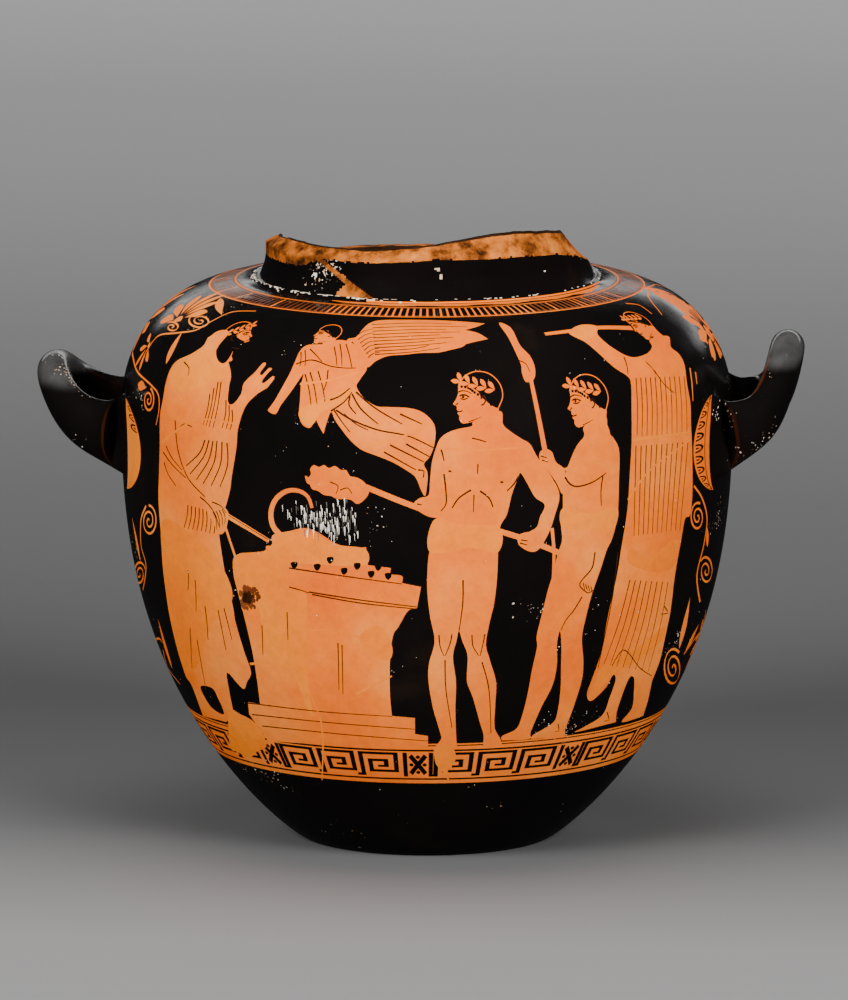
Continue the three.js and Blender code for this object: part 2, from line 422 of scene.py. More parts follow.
# A band of eggs round the root, on the side away from the loop
def rootOrnament(form, end):
    spread = math.radians(handleForm["eggSpread"])
    middle = math.pi if end < 0 else 0
    inner = handleForm["rootWidth"] / 2 + handleForm["rootFillet"] * 0.6 + 0.8
    tall = form["rootTall"] / 2 + 5

    # share runs from -1 to 1 along the band, out from 0 at the handle to 1 at its far edge
    def at(share, out):
        taper = 0.25 + 0.75 * max(0, 1 - abs(share) ** 4) ** 0.5
        turn = middle + spread * share
        wide = inner + (form["eggBand"] - 0.8) * out * taper
        return rootPlace(form, end * handleForm["rootSpread"] + wide * math.cos(turn),
                         form["rootHeight"] - form["eggDrop"] + tall * math.sin(turn))

    def row(out, low=-1.0, high=1.0, count=40):
        return [at(low + (high - low) * k / count, out) for k in range(count + 1)]

    lay("clay", row(1) + row(0)[::-1])
    # The left handle's front band is a restoration, plain but for the eggs at its top
    restored = form["side"] < 0 and end < 0
    up = -1 if end < 0 else 1
    if restored:
        lay("fill", [at(-up * (1 - 1.34 * k / 30), 1) for k in range(31)]
            + [at(-up * (1 - 1.34 * k / 30), 0.32) for k in range(31)][::-1])
    else:
        ribbon("gloss", row(0.32, -0.95, 0.95), 0.7)
    eggs = handleForm["eggs"]
    half = 0.78 / eggs
    for n in range(eggs):
        share = up * (0.92 - 1.84 * n / (eggs - 1))
        if restored and n > 3:
            break
        for finish, wide, far, near in (("gloss", 1, 0.9, 0.4), ("clay", 0.62, 0.92, 0.54),
                                        ("gloss", 0.2, 0.86, 0.66)):
            lay(finish, [at(share + half * wide * math.cos(math.pi * k / 10),
                            far - (far - near) * math.sin(math.pi * k / 10)) for k in range(11)])


# A smooth closed shape through pixels of the reference view
def drawn(finish, points):
    lay(finish, [seenAt(*p) for p in smooth(points, True)])


def stroke(points, width=0.55, finish="line", taper=(1, 0.6)):
    ribbon(finish, [seenAt(*p) for p in smooth(points, False, 3.0)], width, taper)


# Relief lines of one weight
def relief(width, *paths):
    for path in paths:
        stroke(path, width)


# A spiral stroke round a pixel of the reference view
def coil(x, y, wide, tall, turns, start, hand, width=1.25):
    path = []
    steps = int(turns * 22)
    for i in range(steps + 1):
        t = i / steps
        angle = start + hand * t * turns * 2 * math.pi
        r = (1 - t) ** 0.85 + 0.04
        path.append((x + wide * r * math.cos(angle), y - tall * r * math.sin(angle)))
    ribbon("clay", [seenAt(*p) for p in path], width, (1, 0.75))


def bud(x0, y0, x1, y1, width, curl=0.0):
    a, b = seenAt(x0, y0), seenAt(x1, y1)
    leaf("clay", a, math.atan2(b[1] - a[1], b[0] - a[0]), math.hypot(b[0] - a[0], b[1] - a[1]), width, curl)


# Palmettes on the handles' axis: heart of the low one by its height, of the high one by its radius
floralForm = {"lowHeight": 106, "lowSize": 24, "highRadius": 143, "highSize": 34}


# Palmettes above and below the handle, with volutes and buds down each flank. The front flank is laid
# out in the reference view and mirrored to the back
def handleFlorals(side):
    middle = side * math.pi / 2 * unrollRadius
    palmette((middle, heightToV(floralForm["lowHeight"])), -math.pi / 2, floralForm["lowSize"], 9, 1.9)
    palmette((middle, shoulderV(floralForm["highRadius"])), math.pi / 2, floralForm["highSize"], 9, 1.9)
    first = len(shapes)
    if side < 0:
        coil(149, 521, 7.5, 15, 2.1, 1.6, -1)
        stroke([(146, 506), (141, 520), (141, 545), (146, 566), (143, 590)], 1.3, "clay", (1, 0.7))
        coil(139.5, 574, 6, 12, 2.0, 0.4, 1)
        coil(148.5, 400, 5.5, 12, 1.9, 1.2, -1)
        stroke([(132, 352), (137, 371), (150, 384), (158, 394), (159, 409), (156, 425)], 1.3, "clay",
            (1, 0.5))
        bud(146, 388, 138, 384, 5)
        bud(183, 331, 166, 364, 5.2)
        bud(132, 517, 142, 560, 4.4, -0.2)
        bud(158, 619, 175, 672, 5.4, -0.15)
        bud(222, 315, 220, 301, 5)
        stroke([(146, 352), (158, 336), (176, 333), (196, 330), (212, 321), (232, 312), (256, 311)],
            1.2, "clay")
        coil(200, 321, 11, 7, 1.9, 2.6, 1, 1.1)
        coil(172, 327, 7, 5, 1.6, 2.2, -1, 1.1)
        palmette(seenAt(150, 344), -2.1, 17, 5, 1.2)
        palmette(seenAt(176, 322), 1.9, 32, 7, 1.2)
        stroke([(163, 650), (168, 668), (180, 684)], 1.2, "clay")
        coil(158, 650, 5, 12, 1.7, 0.6, 1)
    else:
        coil(697.5, 517, 7, 14, 2.1, 1.2, 1)
        stroke([(694, 486), (702, 498), (707, 518), (704, 544), (697, 575), (700, 602)], 1.4, "clay",
            (0.8, 1))
        coil(706, 571, 7, 14, 2.0, 2.4, -1)
        bud(707, 526, 707.5, 547, 3.6)
        bud(690, 598, 677, 650, 6.4, 0.1)
        bud(699, 624, 685, 651, 6.2, 0.1)
        coil(673, 668, 9.5, 19, 2.3, 0.9, 1, 1.4)
        stroke([(684, 654), (694, 640), (702, 628), (706, 610)], 1.4, "clay")
        for ends in ((652, 295, 667, 306, 6), (664, 296, 681, 313, 6.5), (675, 299, 687, 317, 10),
                     (691, 319, 706, 333, 8), (699, 331, 708, 344, 5), (707, 328, 714, 341, 6),
                     (710.5, 340, 712, 357, 5), (715, 341, 720, 358, 7)):
            bud(*ends)
        stroke([(634, 296), (646, 300), (656, 308), (662, 315)], 1.0, "clay")
        stroke([(626, 304), (640, 306), (652, 314)], 1.0, "clay")
        stroke([(690, 368), (692, 384), (693, 401)], 1.2, "clay")
        stroke([(695.5, 372), (697, 384)], 1.2, "clay")
        coil(630, 299, 8, 4, 1.6, 0.5, 1, 1.0)
        coil(668, 303, 9, 5, 1.7, 0.5, 1, 1.0)
    for finish, points in shapes[first:]:
        lay(finish, [(2 * middle - p[0], p[1]) for p in points[::-1]])


# Figures. Plain stock figures, laid out by pixels of the reference view.

# A calm profile on textbook proportions, facing -1 left or 1 right
def head(place, tall, facing, tilt=0.0, beard=False, wreath=True):
    u, v = place
    stretch = unrollRadius / rowAt(v)[1]
    cosT, sinT = math.cos(tilt), math.sin(tilt)

    def at(px, py):
        sx, sy = px * cosT - py * sinT, px * sinT + py * cosT
        return u - facing * sx * tall * stretch, v + sy * tall

    def path(points, closed=False):
        return smooth([at(*p) for p in points], closed, 0.9)

    skull = [(-0.33, 0.27), (-0.22, 0.42), (0.0, 0.5), (0.24, 0.44), (0.4, 0.25), (0.43, 0.02),
        (0.34, -0.18)]
    face = [(-0.33, 0.3), (-0.365, 0.16), (-0.375, 0.07), (-0.42, -0.03), (-0.465, -0.1),
        (-0.4, -0.145), (-0.405, -0.2), (-0.375, -0.225), (-0.395, -0.27), (-0.36, -0.31),
        (-0.365, -0.38), (-0.3, -0.45), (-0.16, -0.43), (-0.06, -0.42), (-0.02, -0.58), (-0.04, -0.72),
        (0.34, -0.68), (0.3, -0.4), (0.34, -0.15), (0.2, 0.2), (-0.1, 0.33)]
    lay("clay", path(face, True))
    lay("gloss", path(skull + [(0.22, -0.14), (0.13, -0.06), (0.04, 0.02), (-0.02, 0.13), (-0.14, 0.2),
        (-0.25, 0.22)], True))
    ribbon("clay", path(skull), 0.55)
    for k in range(11):
        t = k / 10
        spot = at(-0.3 + 0.5 * t + 0.02 * math.sin(9 * t), 0.215 - 0.34 * t ** 1.6)
        disc("gloss", spot, 0.75, 0.75, 8)
    if wreath:
        for k in range(5):
            t = k / 4
            for lean in (-0.5, 0.6):
                base = at(-0.3 + 0.6 * t, 0.3 - 0.16 * t)
                bearing = math.pi / 2 + facing * (-0.9 + lean - 0.3 * t)
                leaf("clay", base, bearing, tall * 0.2, tall * 0.085)
    if beard:
        lay("gloss", path([(0.02, 0.05), (0.36, 0.02), (0.46, -0.28), (0.36, -0.6), (0.16, -0.74),
            (0.0, -0.55), (-0.06, -0.2)], True))
        lay("gloss", path([(-0.4, -0.2), (-0.3, -0.22), (-0.16, -0.14), (0.0, -0.02), (0.1, -0.08),
            (0.06, -0.3), (-0.06, -0.5), (-0.24, -0.68), (-0.46, -0.74), (-0.5, -0.6), (-0.42, -0.4),
            (-0.4, -0.3)], True))
        ribbon("clay", path([(-0.42, -0.235), (-0.34, -0.25), (-0.29, -0.24)]), 0.7)
    ribbon("line", path([(-0.345, 0.04), (-0.3, 0.065), (-0.23, 0.055), (-0.17, 0.02)]), 0.5)
    ribbon("line", path([(-0.335, 0.0), (-0.27, -0.02), (-0.2, 0.005)]), 0.38)
    lay("line", path([(-0.3, 0.05), (-0.265, 0.05), (-0.265, 0.0), (-0.3, 0.0)], True))
    ribbon("line", path([(-0.37, 0.11), (-0.3, 0.14), (-0.2, 0.125), (-0.13, 0.08)]), 0.45, (1, 0.5))
    ribbon("line", path([(-0.425, -0.12), (-0.39, -0.1), (-0.375, -0.075)]), 0.35)
    if not beard:
        ribbon("line", path([(-0.395, -0.235), (-0.34, -0.235), (-0.3, -0.22)]), 0.4)
    ribbon("line", path([(0.03, -0.02), (0.09, 0.04), (0.12, -0.03), (0.08, -0.11), (0.03, -0.13)]), 0.45)
    ribbon("line", path([(0.02, -0.34), (-0.08, -0.38), (-0.2, -0.42)]), 0.35, (0.4, 1))


# Drapery lines between two rows of ends
def folds(starts, ends, bow=0.0, width=0.5):
    for a, b in zip(starts, ends):
        middle = ((a[0] + b[0]) / 2 + bow, (a[1] + b[1]) / 2)
        stroke([a, middle, b], width)


def rowOf(a, b, count):
    shares = [k / (count - 1) for k in range(count)]
    return [(a[0] + (b[0] - a[0]) * share, a[1] + (b[1] - a[1]) * share) for share in shares]


def altar():
    drawn("clay", [(233, 560), (241, 553), (241, 553), (264, 551), (266, 546), (272, 545), (272, 536),
        (279, 533), (290, 531), (305, 528), (319, 533), (335, 543), (352, 548), (366, 547), (366, 547),
        (368, 565), (368, 565), (391, 568), (391, 568), (391, 574), (402, 576), (402, 583), (402, 583),
        (421, 587), (421, 587), (417, 608), (417, 608), (408, 611), (399, 626), (393, 636), (390, 660),
        (390, 694), (392, 716), (392, 716), (415, 718), (415, 718), (415, 734), (415, 734), (428, 736),
        (428, 736), (428, 747), (428, 747), (350, 746), (268, 741), (268, 741), (264, 735), (256, 724),
        (249, 714), (249, 714), (248, 702), (248, 702), (260, 704), (260, 704), (257, 680), (252, 650),
        (243, 612), (236, 587)])
    horn = [(282, 537), (273, 526), (271, 512), (276, 499), (287, 491), (299, 491), (308, 497), (312, 508)]
    stroke(horn, 3.1, "clay", (1.1, 0.55))
    drawn("fill", [(241, 554), (265, 551), (280, 535), (306, 530), (335, 544), (365, 549), (367, 564),
        (345, 566), (291, 565), (289, 588), (306, 594), (307, 640), (309, 690), (313, 716), (306, 705),
        (292, 672), (272, 664), (268, 650), (262, 628), (258, 604), (246, 584), (236, 584), (233, 562)])
    drawn("fill", [(361, 634), (380, 626), (392, 646), (389, 660), (372, 655), (362, 646)])
    relief(0.5, [(289, 568), (350, 577), (402, 584)], [(309, 592), (360, 600), (417, 607)],
        [(312, 594.5), (360, 603), (416, 609)])
    stroke([(289, 587), (300, 590), (309, 593)], 0.45)
    for x, top, bottom in ((338, 643, 690), (342, 645, 694), (262, 625, 655), (287, 612, 640)):
        stroke([(x, top), (x + 1, bottom)], 0.42)
    for y, left, right, fall in ((703, 248, 392, 13.5), (714.5, 252, 415, 14.8), (726, 262, 428, 15)):
        stroke([(left, y), ((left + right) / 2, y + 8.5), (right, y + fall)], 0.45)
    for x, y in ((294, 565), (317, 567), (330, 560), (344, 571), (357, 566), (371, 574), (378, 567),
                 (388, 576)):
        drawn("gloss", [(x - 3, y - 2.5), (x + 3, y - 3), (x + 3.2, y + 1), (x, y + 4), (x - 2.5, y + 1.5)])
    # A burnt spot beside the altar, dark in the middle and blotchy round it
    for _ in range(230):
        far = abs(dice.gauss(0, 0.55))
        turn = 2 * math.pi * dice.random()
        x, y = 248 + 15 * far * math.cos(turn), 597 + 15 * far * math.sin(turn)
        if x > 238 and far < 1.5:
            size = 1.0 + 1.8 * dice.random()
            burnt = "line" if far < 0.35 else "wash" if far < 0.8 else "fill"
            disc(burnt, seenAt(x, y), size * 0.5, size * 0.6, 6)


def beardedMan():
    drawn("clay", [(209, 338), (203, 346), (191, 354), (178, 360), (171, 368), (166, 382), (163, 399),
        (160, 417), (159.7, 447), (159, 472), (158.5, 500), (161, 534), (165, 573), (168, 607),
        (175.5, 641), (185, 674), (192, 686), (203, 716), (203, 716), (226, 722), (226, 722),
        (233, 714), (230, 695), (227, 673), (238, 684), (244, 689), (247, 682), (251, 672), (244, 651),
        (235.5, 622), (233, 607), (225, 573), (219, 533), (219, 516), (225, 508), (230, 490),
        (232, 475), (236.5, 447), (238, 429), (245, 407.5), (256, 395), (267, 388), (267, 388),
        (274, 379), (273, 376), (264, 383), (262, 381), (268, 373), (272, 369), (269, 368), (262, 375),
        (260, 373), (266, 364), (263, 363), (255, 372), (244, 383), (241, 394), (233, 404), (228, 402),
        (229, 387), (231, 376), (229, 364), (224, 352), (219, 344)])
    drawn("gloss", [(201, 686), (212, 688), (217.5, 697), (224, 714), (212, 708), (203, 694)])
    drawn("fill", [(170, 372), (186, 358), (204, 350), (220, 352), (228, 366), (224, 378), (206, 384),
        (186, 392), (172, 388)])
    drawn("fill", [(163, 520), (186, 530), (207, 548), (226, 574), (232, 600), (214, 622), (206, 640),
        (196, 668), (184, 668), (174, 636), (167, 600), (162, 556)])
    stroke([(221, 512), (246, 527), (269, 541)], 3.0, "clay", (1, 0.7))
    stroke([(224, 512.5), (246, 526), (268, 539.5)], 0.4, "gloss", (1, 1))
    stroke([(222, 516), (228, 535), (236, 560), (241, 586)], 1.6, "clay", (1, 0.8))
    stroke([(219.5, 532), (228, 560), (236, 592), (243, 622)], 2.0, "gloss", (0.5, 1.5))
    folds([(221, 382), (218, 382), (214, 388), (210, 394)], [(213, 428), (209, 427), (206, 426),
        (203, 425)], 1)
    folds(rowOf((226, 400), (232, 410), 3), rowOf((222, 428), (230, 430), 3), 1.5)
    folds([(205, 440), (209, 440), (213, 441), (217, 441), (222, 442), (227, 443)], [(186, 466),
        (190, 474), (196, 480), (203, 484), (211, 486), (220, 487)], 4, 0.55)
    folds([(163, 452), (166, 446), (164, 462)], [(186, 478), (182, 470), (176, 486)], -2)
    stroke([(177, 431), (184, 424), (192, 427)], 0.5)
    stroke([(175, 420), (178, 450), (188, 478), (206, 498), (222, 514)], 0.55)
    folds(rowOf((188, 505), (214, 512), 8), rowOf((184, 528), (214, 534), 8), 1)
    folds([(188, 570), (195, 580), (205, 606)], [(188, 590), (196, 612), (208, 640)], 0.5)
    folds([(218, 610), (224, 608), (190, 628), (197, 640)], [(226, 650), (232, 640), (192, 668),
        (206, 690)], 0)
    stroke([(184, 362), (189, 368), (188, 376)], 0.5)
    drawn("clay", [(202, 497), (212, 500), (222, 505), (228, 512), (228, 520), (225, 531), (219, 534),
        (213, 522), (206, 510)])
    stroke([(200, 497), (208, 504), (215, 514), (219, 526)], 0.5)
    for k in range(4):
        stroke([(213 + 3 * k, 512 - k), (216 + 3 * k, 519 - k), (217 + 2.6 * k, 530 - 2 * k)], 0.42)
    stroke([(212, 502), (221, 506), (226, 513)], 0.45)
    head(seenAt(236, 336), 21.7, 1, -0.35, beard=True)
    drawn("clay", [(207, 340), (212, 335), (218, 331), (226, 330), (229, 333), (224, 339), (219, 345),
        (215, 350)])


def wingedFigure():
    drawn("clay", [(347, 340), (356, 337), (362, 330), (370, 323), (384, 320), (428, 320), (462, 321.5),
        (485, 323.5), (485, 323.5), (476, 327), (465, 330), (465, 330), (478, 333), (488, 339),
        (488, 339), (474, 342), (466, 344), (466, 344), (462, 347), (450, 350), (450, 350),
        (438, 352.5), (420, 353), (406, 354.5), (388, 356), (376, 361), (366, 367), (350, 352)])
    for k in range(10):
        t = k / 9
        far = 470 - 30 * t if k % 2 else 452 - 26 * t
        stroke([(372 + 3 * t, 324.5 + 30 * t), (418 - 6 * t, 323 + 29 * t), (far, 324 + 24 * t)], 0.42)
    for k in range(7):
        stroke([(356 + 2 * k, 336 + 3.6 * k), (364 + 1.6 * k, 331 + 3.7 * k),
                (373 + 1.2 * k, 329 + 3.9 * k)], 0.42)
    stroke([(352, 342), (358, 350), (364, 362)], 0.55)
    drawn("clay", [(308, 345), (300, 351), (294, 364), (290, 373), (284, 384), (275.6, 399), (270, 407),
        (268, 411), (275.6, 414), (281, 405), (290, 393), (297, 383), (303.5, 374), (301, 385),
        (300, 400), (299, 414), (302, 424), (309, 428), (313, 424), (315, 418), (319, 426),
        (323.5, 434), (323.5, 434), (326.5, 423), (331, 412), (335, 420), (342, 430), (351, 441),
        (362, 450), (376, 455.5), (394, 463), (412, 474), (417, 480), (421, 490), (425, 496),
        (427, 486), (427.5, 473), (424, 464), (429.5, 457), (434, 446), (435.5, 431), (432, 421),
        (422, 412), (408, 408), (388, 407), (376, 406), (364, 398), (357, 388), (357, 384), (361, 378),
        (367, 367), (361, 350), (350, 342), (338, 340), (325, 344)])
    drawn("fill", [(300, 410), (330, 396), (350, 388), (356, 392), (340, 404), (322, 412), (313, 424),
        (304, 424)])
    folds([(301, 352), (305, 350), (310, 349), (334, 346), (340, 344), (346, 344)], [(300, 366),
        (305, 366), (322, 362), (337, 366), (342, 366), (352, 368)], 0.5, 0.45)
    stroke([(296, 364), (312, 360), (330, 366), (345, 368), (356, 368)], 0.5)
    folds([(305, 374), (310, 372), (318, 371), (328, 370)], [(311, 405), (317, 404), (325, 402),
        (324, 390)], 1)
    relief(0.6, [(330, 400), (340, 396), (350, 388)], [(331, 411), (344, 402), (352, 392)])
    folds([(352, 394), (356, 392), (350, 396)], [(378, 424), (402, 424), (356, 414)], -4, 0.6)
    stroke([(336, 410), (352, 420), (378, 430), (408, 436), (434, 448)], 0.6)
    relief(0.5, [(334, 410), (342, 422), (350, 432)], [(344, 414), (356, 424), (368, 430)])
    folds([(390, 445), (384, 452), (406, 444), (400, 414)], [(424, 462), (416, 470), (430, 457),
        (422, 424)], 0, 0.55)
    stroke([(418, 470), (424, 471), (423, 478)], 0.5)
    head(seenAt(328, 334), 15.5, -1, 0.05, wreath=False)


def spitAndMeat():
    stroke([(366, 487), (400, 501), (440, 516)], 2.9, "clay", (1, 1))
    drawn("clay", [(307, 480), (311, 474), (310, 469), (314, 465), (319, 467), (324, 465), (329, 468),
        (335, 466), (341, 470), (346, 470), (350, 476), (355, 477), (360, 479), (365, 483), (369, 489),
        (368, 495), (363, 501), (357, 504), (351, 500), (344, 499), (337, 499), (331, 496), (324, 495),
        (318, 491), (312, 489), (310, 485)])
    drawn("clay", [(305, 476), (309, 478), (311, 484), (307, 483)])
    relief(0.4, [(330, 482), (338, 486), (336, 494)], [(340, 490), (348, 488), (352, 494)])


def middleYouth():
    drawn("clay", [(474, 421), (472, 426), (458, 429), (447, 433), (440, 439), (436, 448), (432, 462),
        (430, 481), (428.5, 495), (420, 498), (414, 503), (416, 509), (427, 516), (438, 519),
        (436, 525), (433, 541), (429, 554), (427.5, 570), (427.3, 591), (430, 616), (434.5, 641),
        (429, 664), (428.6, 682), (433, 708), (440, 732), (441, 739), (435, 747), (435, 747),
        (457, 747.5), (457, 747.5), (456, 733), (455.4, 708), (456, 682), (453, 657), (456.5, 641),
        (459, 631), (462.3, 641), (467.5, 656), (467, 681), (473, 698), (480, 723), (483.5, 735),
        (483, 746), (483, 746), (502, 745), (502, 745), (500, 738), (494.6, 727), (495.3, 704),
        (496, 682), (489.5, 659), (486, 644), (489.5, 623), (494, 604), (497, 579), (498, 555),
        (498.5, 541), (500.5, 526), (507, 514), (512, 494), (518, 478), (520.6, 473), (527, 483),
        (535, 497), (544.7, 505), (540, 517), (536.6, 527), (527, 533), (519, 538), (519, 545),
        (530, 551.6), (539, 549), (548.7, 533), (554, 518), (559.4, 495), (551, 476), (538, 458),
        (530, 444), (522, 439), (510, 431), (503, 424), (500, 411)])
    stroke([(499, 531), (530, 541), (562, 554)], 2.8, "clay", (1, 1))
    drawn("clay", [(518, 536), (528, 532), (540, 534), (541, 546), (532, 551), (520, 546)])
    drawn("fill", [(434, 520), (460, 524), (499, 528), (498, 552), (470, 548), (430, 552)])
    stroke([(441, 449), (443, 456), (444, 461)], 0.5)
    stroke([(444, 474), (446, 492), (446, 504), (441, 511)], 0.55)
    stroke([(472, 438), (480, 440), (486, 442)], 0.5)
    stroke([(478, 464), (477.5, 474)], 0.45)
    relief(0.6, [(471, 490), (459, 498), (452, 508)], [(480, 491), (489, 498), (493, 507)])
    stroke([(474, 495), (473.5, 512)], 0.4)
    stroke([(519, 476), (513, 485), (507, 491)], 0.6)
    for x, y in ((450, 471), (502, 482)):
        stroke([(x - 1.5, y), (x + 1.5, y + 0.5)], 0.7)
    stroke([(463, 580), (463, 600), (461, 618), (459, 631)], 0.5)
    for x, y, lean in ((445, 640, 0), (478, 640, 2)):
        stroke([(x - 6, y - 5), (x - 5, y + 6), (x - 1 + lean, y + 16)], 0.45)
        stroke([(x + 7, y - 6), (x + 5, y + 4), (x + lean, y + 16)], 0.45)
    relief(0.45, [(445, 660), (446, 690), (452, 728)], [(482, 662), (489, 690), (491, 733)],
        [(521, 540), (528, 541)], [(520, 543), (527, 545)], [(417, 504), (422, 505)])
    head(seenAt(479, 398), 28, -1, 0.0)


def rightYouth():
    drawn("clay", [(499, 323), (511, 328), (520, 345), (530, 356), (535, 368), (534, 379), (526, 382),
        (522, 373), (521, 365), (515, 351), (508, 337)])
    stroke([(531, 380), (538, 414), (545, 451)], 2.4, "clay", (0.9, 1.1))
    stroke([(552, 528), (554, 552), (553, 580)], 1.9, "clay", (1, 0.8))
    stroke([(518, 360), (526, 364), (530, 372)], 0.4)
    drawn("clay", [(546, 449), (552, 452), (556, 462), (565, 471), (563, 494), (556, 482), (548, 471),
        (540, 461), (540, 452)])
    drawn("clay", [(584.5, 426), (584, 436), (576, 447), (568, 466), (565, 476), (563, 494),
        (562.9, 507), (561, 524), (562, 540), (558, 553), (552.6, 575), (548, 590), (542, 614),
        (536.7, 636), (537, 647), (532, 670), (527.6, 694), (522, 716), (516, 729), (502, 736),
        (502, 740.5), (502, 740.5), (529, 739), (530.6, 732), (541, 708), (552.6, 685), (557, 664),
        (557, 644), (560, 631), (561.4, 647), (561, 667), (560.6, 688), (557.7, 711), (552.6, 723),
        (533, 735), (531, 739), (531, 739), (563.6, 736), (565, 730), (574.6, 704), (582, 679),
        (583.4, 661), (582, 638), (586, 617), (592, 594), (601, 568), (606.8, 550), (612.7, 537),
        (617.6, 515), (619, 482), (619.3, 452), (614.3, 439), (607.7, 431), (605, 416)])
    drawn("fill", [(563, 508), (590, 514), (617, 508), (612, 532), (590, 530), (563, 528)])
    stroke([(565, 477), (570, 484), (578, 486.5), (593, 482), (606, 473)], 0.6)
    stroke([(603, 475), (601, 490), (601.4, 506)], 0.5)
    stroke([(599, 438), (602, 433), (609, 433)], 0.45)
    stroke([(595, 552), (592, 568), (582, 580), (580, 586), (588, 593), (593, 590)], 0.55)
    for k in range(4):
        stroke([(583 + 2.6 * k, 583 + 1.2 * k), (585 + 2.4 * k, 590 + 0.8 * k)], 0.4)
    stroke([(582, 597), (574, 610), (566, 620), (561, 630)], 0.5)
    stroke([(558, 724), (559, 731), (555, 732)], 0.45)
    relief(0.4, [(541, 456), (547, 458)], [(542, 460), (548, 462)])
    head(seenAt(589, 401), 27.5, -1, 0.02)


def fluteGirl():
    stroke([(545, 334), (570, 331), (600, 327.5), (632, 328)], 3.1, "clay", (0.7, 1.0))
    drawn("clay", [(569, 333), (580, 325), (597, 326), (598, 335), (613, 348), (631, 357), (646, 354),
        (652, 347), (650, 339), (668, 336), (671, 347), (679, 354), (684.5, 365), (687, 384),
        (690.5, 404), (691, 424), (692, 444), (692.5, 470), (692.3, 495), (690, 515), (685, 519),
        (681, 541), (675, 575), (670.6, 610), (666, 633), (660, 660), (652, 681), (652, 681),
        (648, 700), (643, 716), (643, 716), (622, 722), (632, 708), (634, 690), (634, 678), (630, 677),
        (624.4, 689), (617, 711), (616, 722), (616, 722), (576, 732), (584, 727), (602.4, 715),
        (609.8, 697), (615.6, 680), (613, 675), (605.4, 688), (591, 701), (587, 694), (592, 679),
        (601, 653), (608, 616), (617, 575), (621, 550), (626, 520), (628.3, 500), (629.6, 477),
        (631.6, 444), (631.6, 410), (631, 384), (627, 376), (613.6, 367), (596, 351), (585, 342)])
    drawn("fill", [(570, 333), (581, 326), (596, 327), (594, 335), (583, 340), (577, 337)])
    drawn("fill", [(632, 548), (648, 558), (664, 546), (678, 540), (674, 566), (652, 572), (628, 562)])
    drawn("fill", [(600, 670), (622, 656), (648, 640), (664, 626), (662, 640), (636, 662), (612, 676),
        (594, 694)])
    folds(rowOf((636, 378), (684, 376), 11), rowOf((637, 436), (687, 434), 11), 1, 0.42)
    folds(rowOf((636, 446), (688, 442), 11), rowOf((634, 536), (680, 530), 11), 0, 0.42)
    folds(rowOf((630, 580), (668, 582), 8), rowOf((604, 664), (648, 672), 8), 2, 0.42)
    stroke([(654, 370), (664, 384), (674, 393)], 0.5)
    stroke([(646, 362), (652, 368), (656, 374)], 0.45)
    stroke([(624, 357), (627, 366), (628, 374)], 0.5)
    relief(0.45, [(618, 552), (612, 600), (598, 668)], [(664, 606), (668, 613), (661, 614)],
        [(612, 666), (624, 650), (640, 668), (652, 676)], [(607, 712), (609, 720), (604, 721)])
    head(seenAt(641, 324), 20.5, -1, 0.18)


# A plain draped youth for the back of the pot, which the view doesn't show
def mantleYouth(bearing, facing, staff):
    ground = heightToV(bandForm["clayHigh"])
    middle = wrapped(math.radians(bearing) * unrollRadius)

    def at(x, y):
        return middle - facing * x * unrollRadius / rowAt(ground + y)[1], ground + y

    def line(points, width=0.5):
        ribbon("line", smooth([at(*p) for p in points], False, 1.6), width, (1, 0.6))

    def patch(points):
        lay("clay", smooth([at(*p) for p in points], True))

    for x in (-7, 9):
        patch([(x - 4, 22), (x - 4, 8), (x - 11, 3), (x - 14, 0.3), (x + 4, 0.3), (x + 5, 6), (x + 5, 22)])
    patch([(-17, 18), (-20, 50), (-22, 84), (-25, 112), (-23, 134), (-16, 148), (-5, 155), (6, 155),
        (17, 149), (23, 134), (24, 108), (22, 80), (23, 46), (25, 20), (10, 14), (-4, 17)])
    if staff:
        ribbon("clay", smooth([at(-34, 0), at(-32, 60), at(-31, 118)]), 1.8)
        patch([(-24, 118), (-33, 122), (-36, 116), (-33, 110), (-22, 110)])
    line([(-20, 140), (-8, 128), (2, 112), (10, 88)])
    line([(-16, 146), (-2, 134), (10, 116), (18, 92)])
    for k in range(6):
        line([(-18 + 5 * k, 96 - 5 * k), (-19 + 6.4 * k, 60 - 3 * k), (-17 + 7 * k, 24)], 0.45)
    line([(-23, 128), (-10, 112), (8, 106), (22, 108)])
    line([(-22, 104), (-8, 96), (10, 92), (23, 96)])
    head(at(-2, 171), 26, facing, 0.0, wreath=not staff)


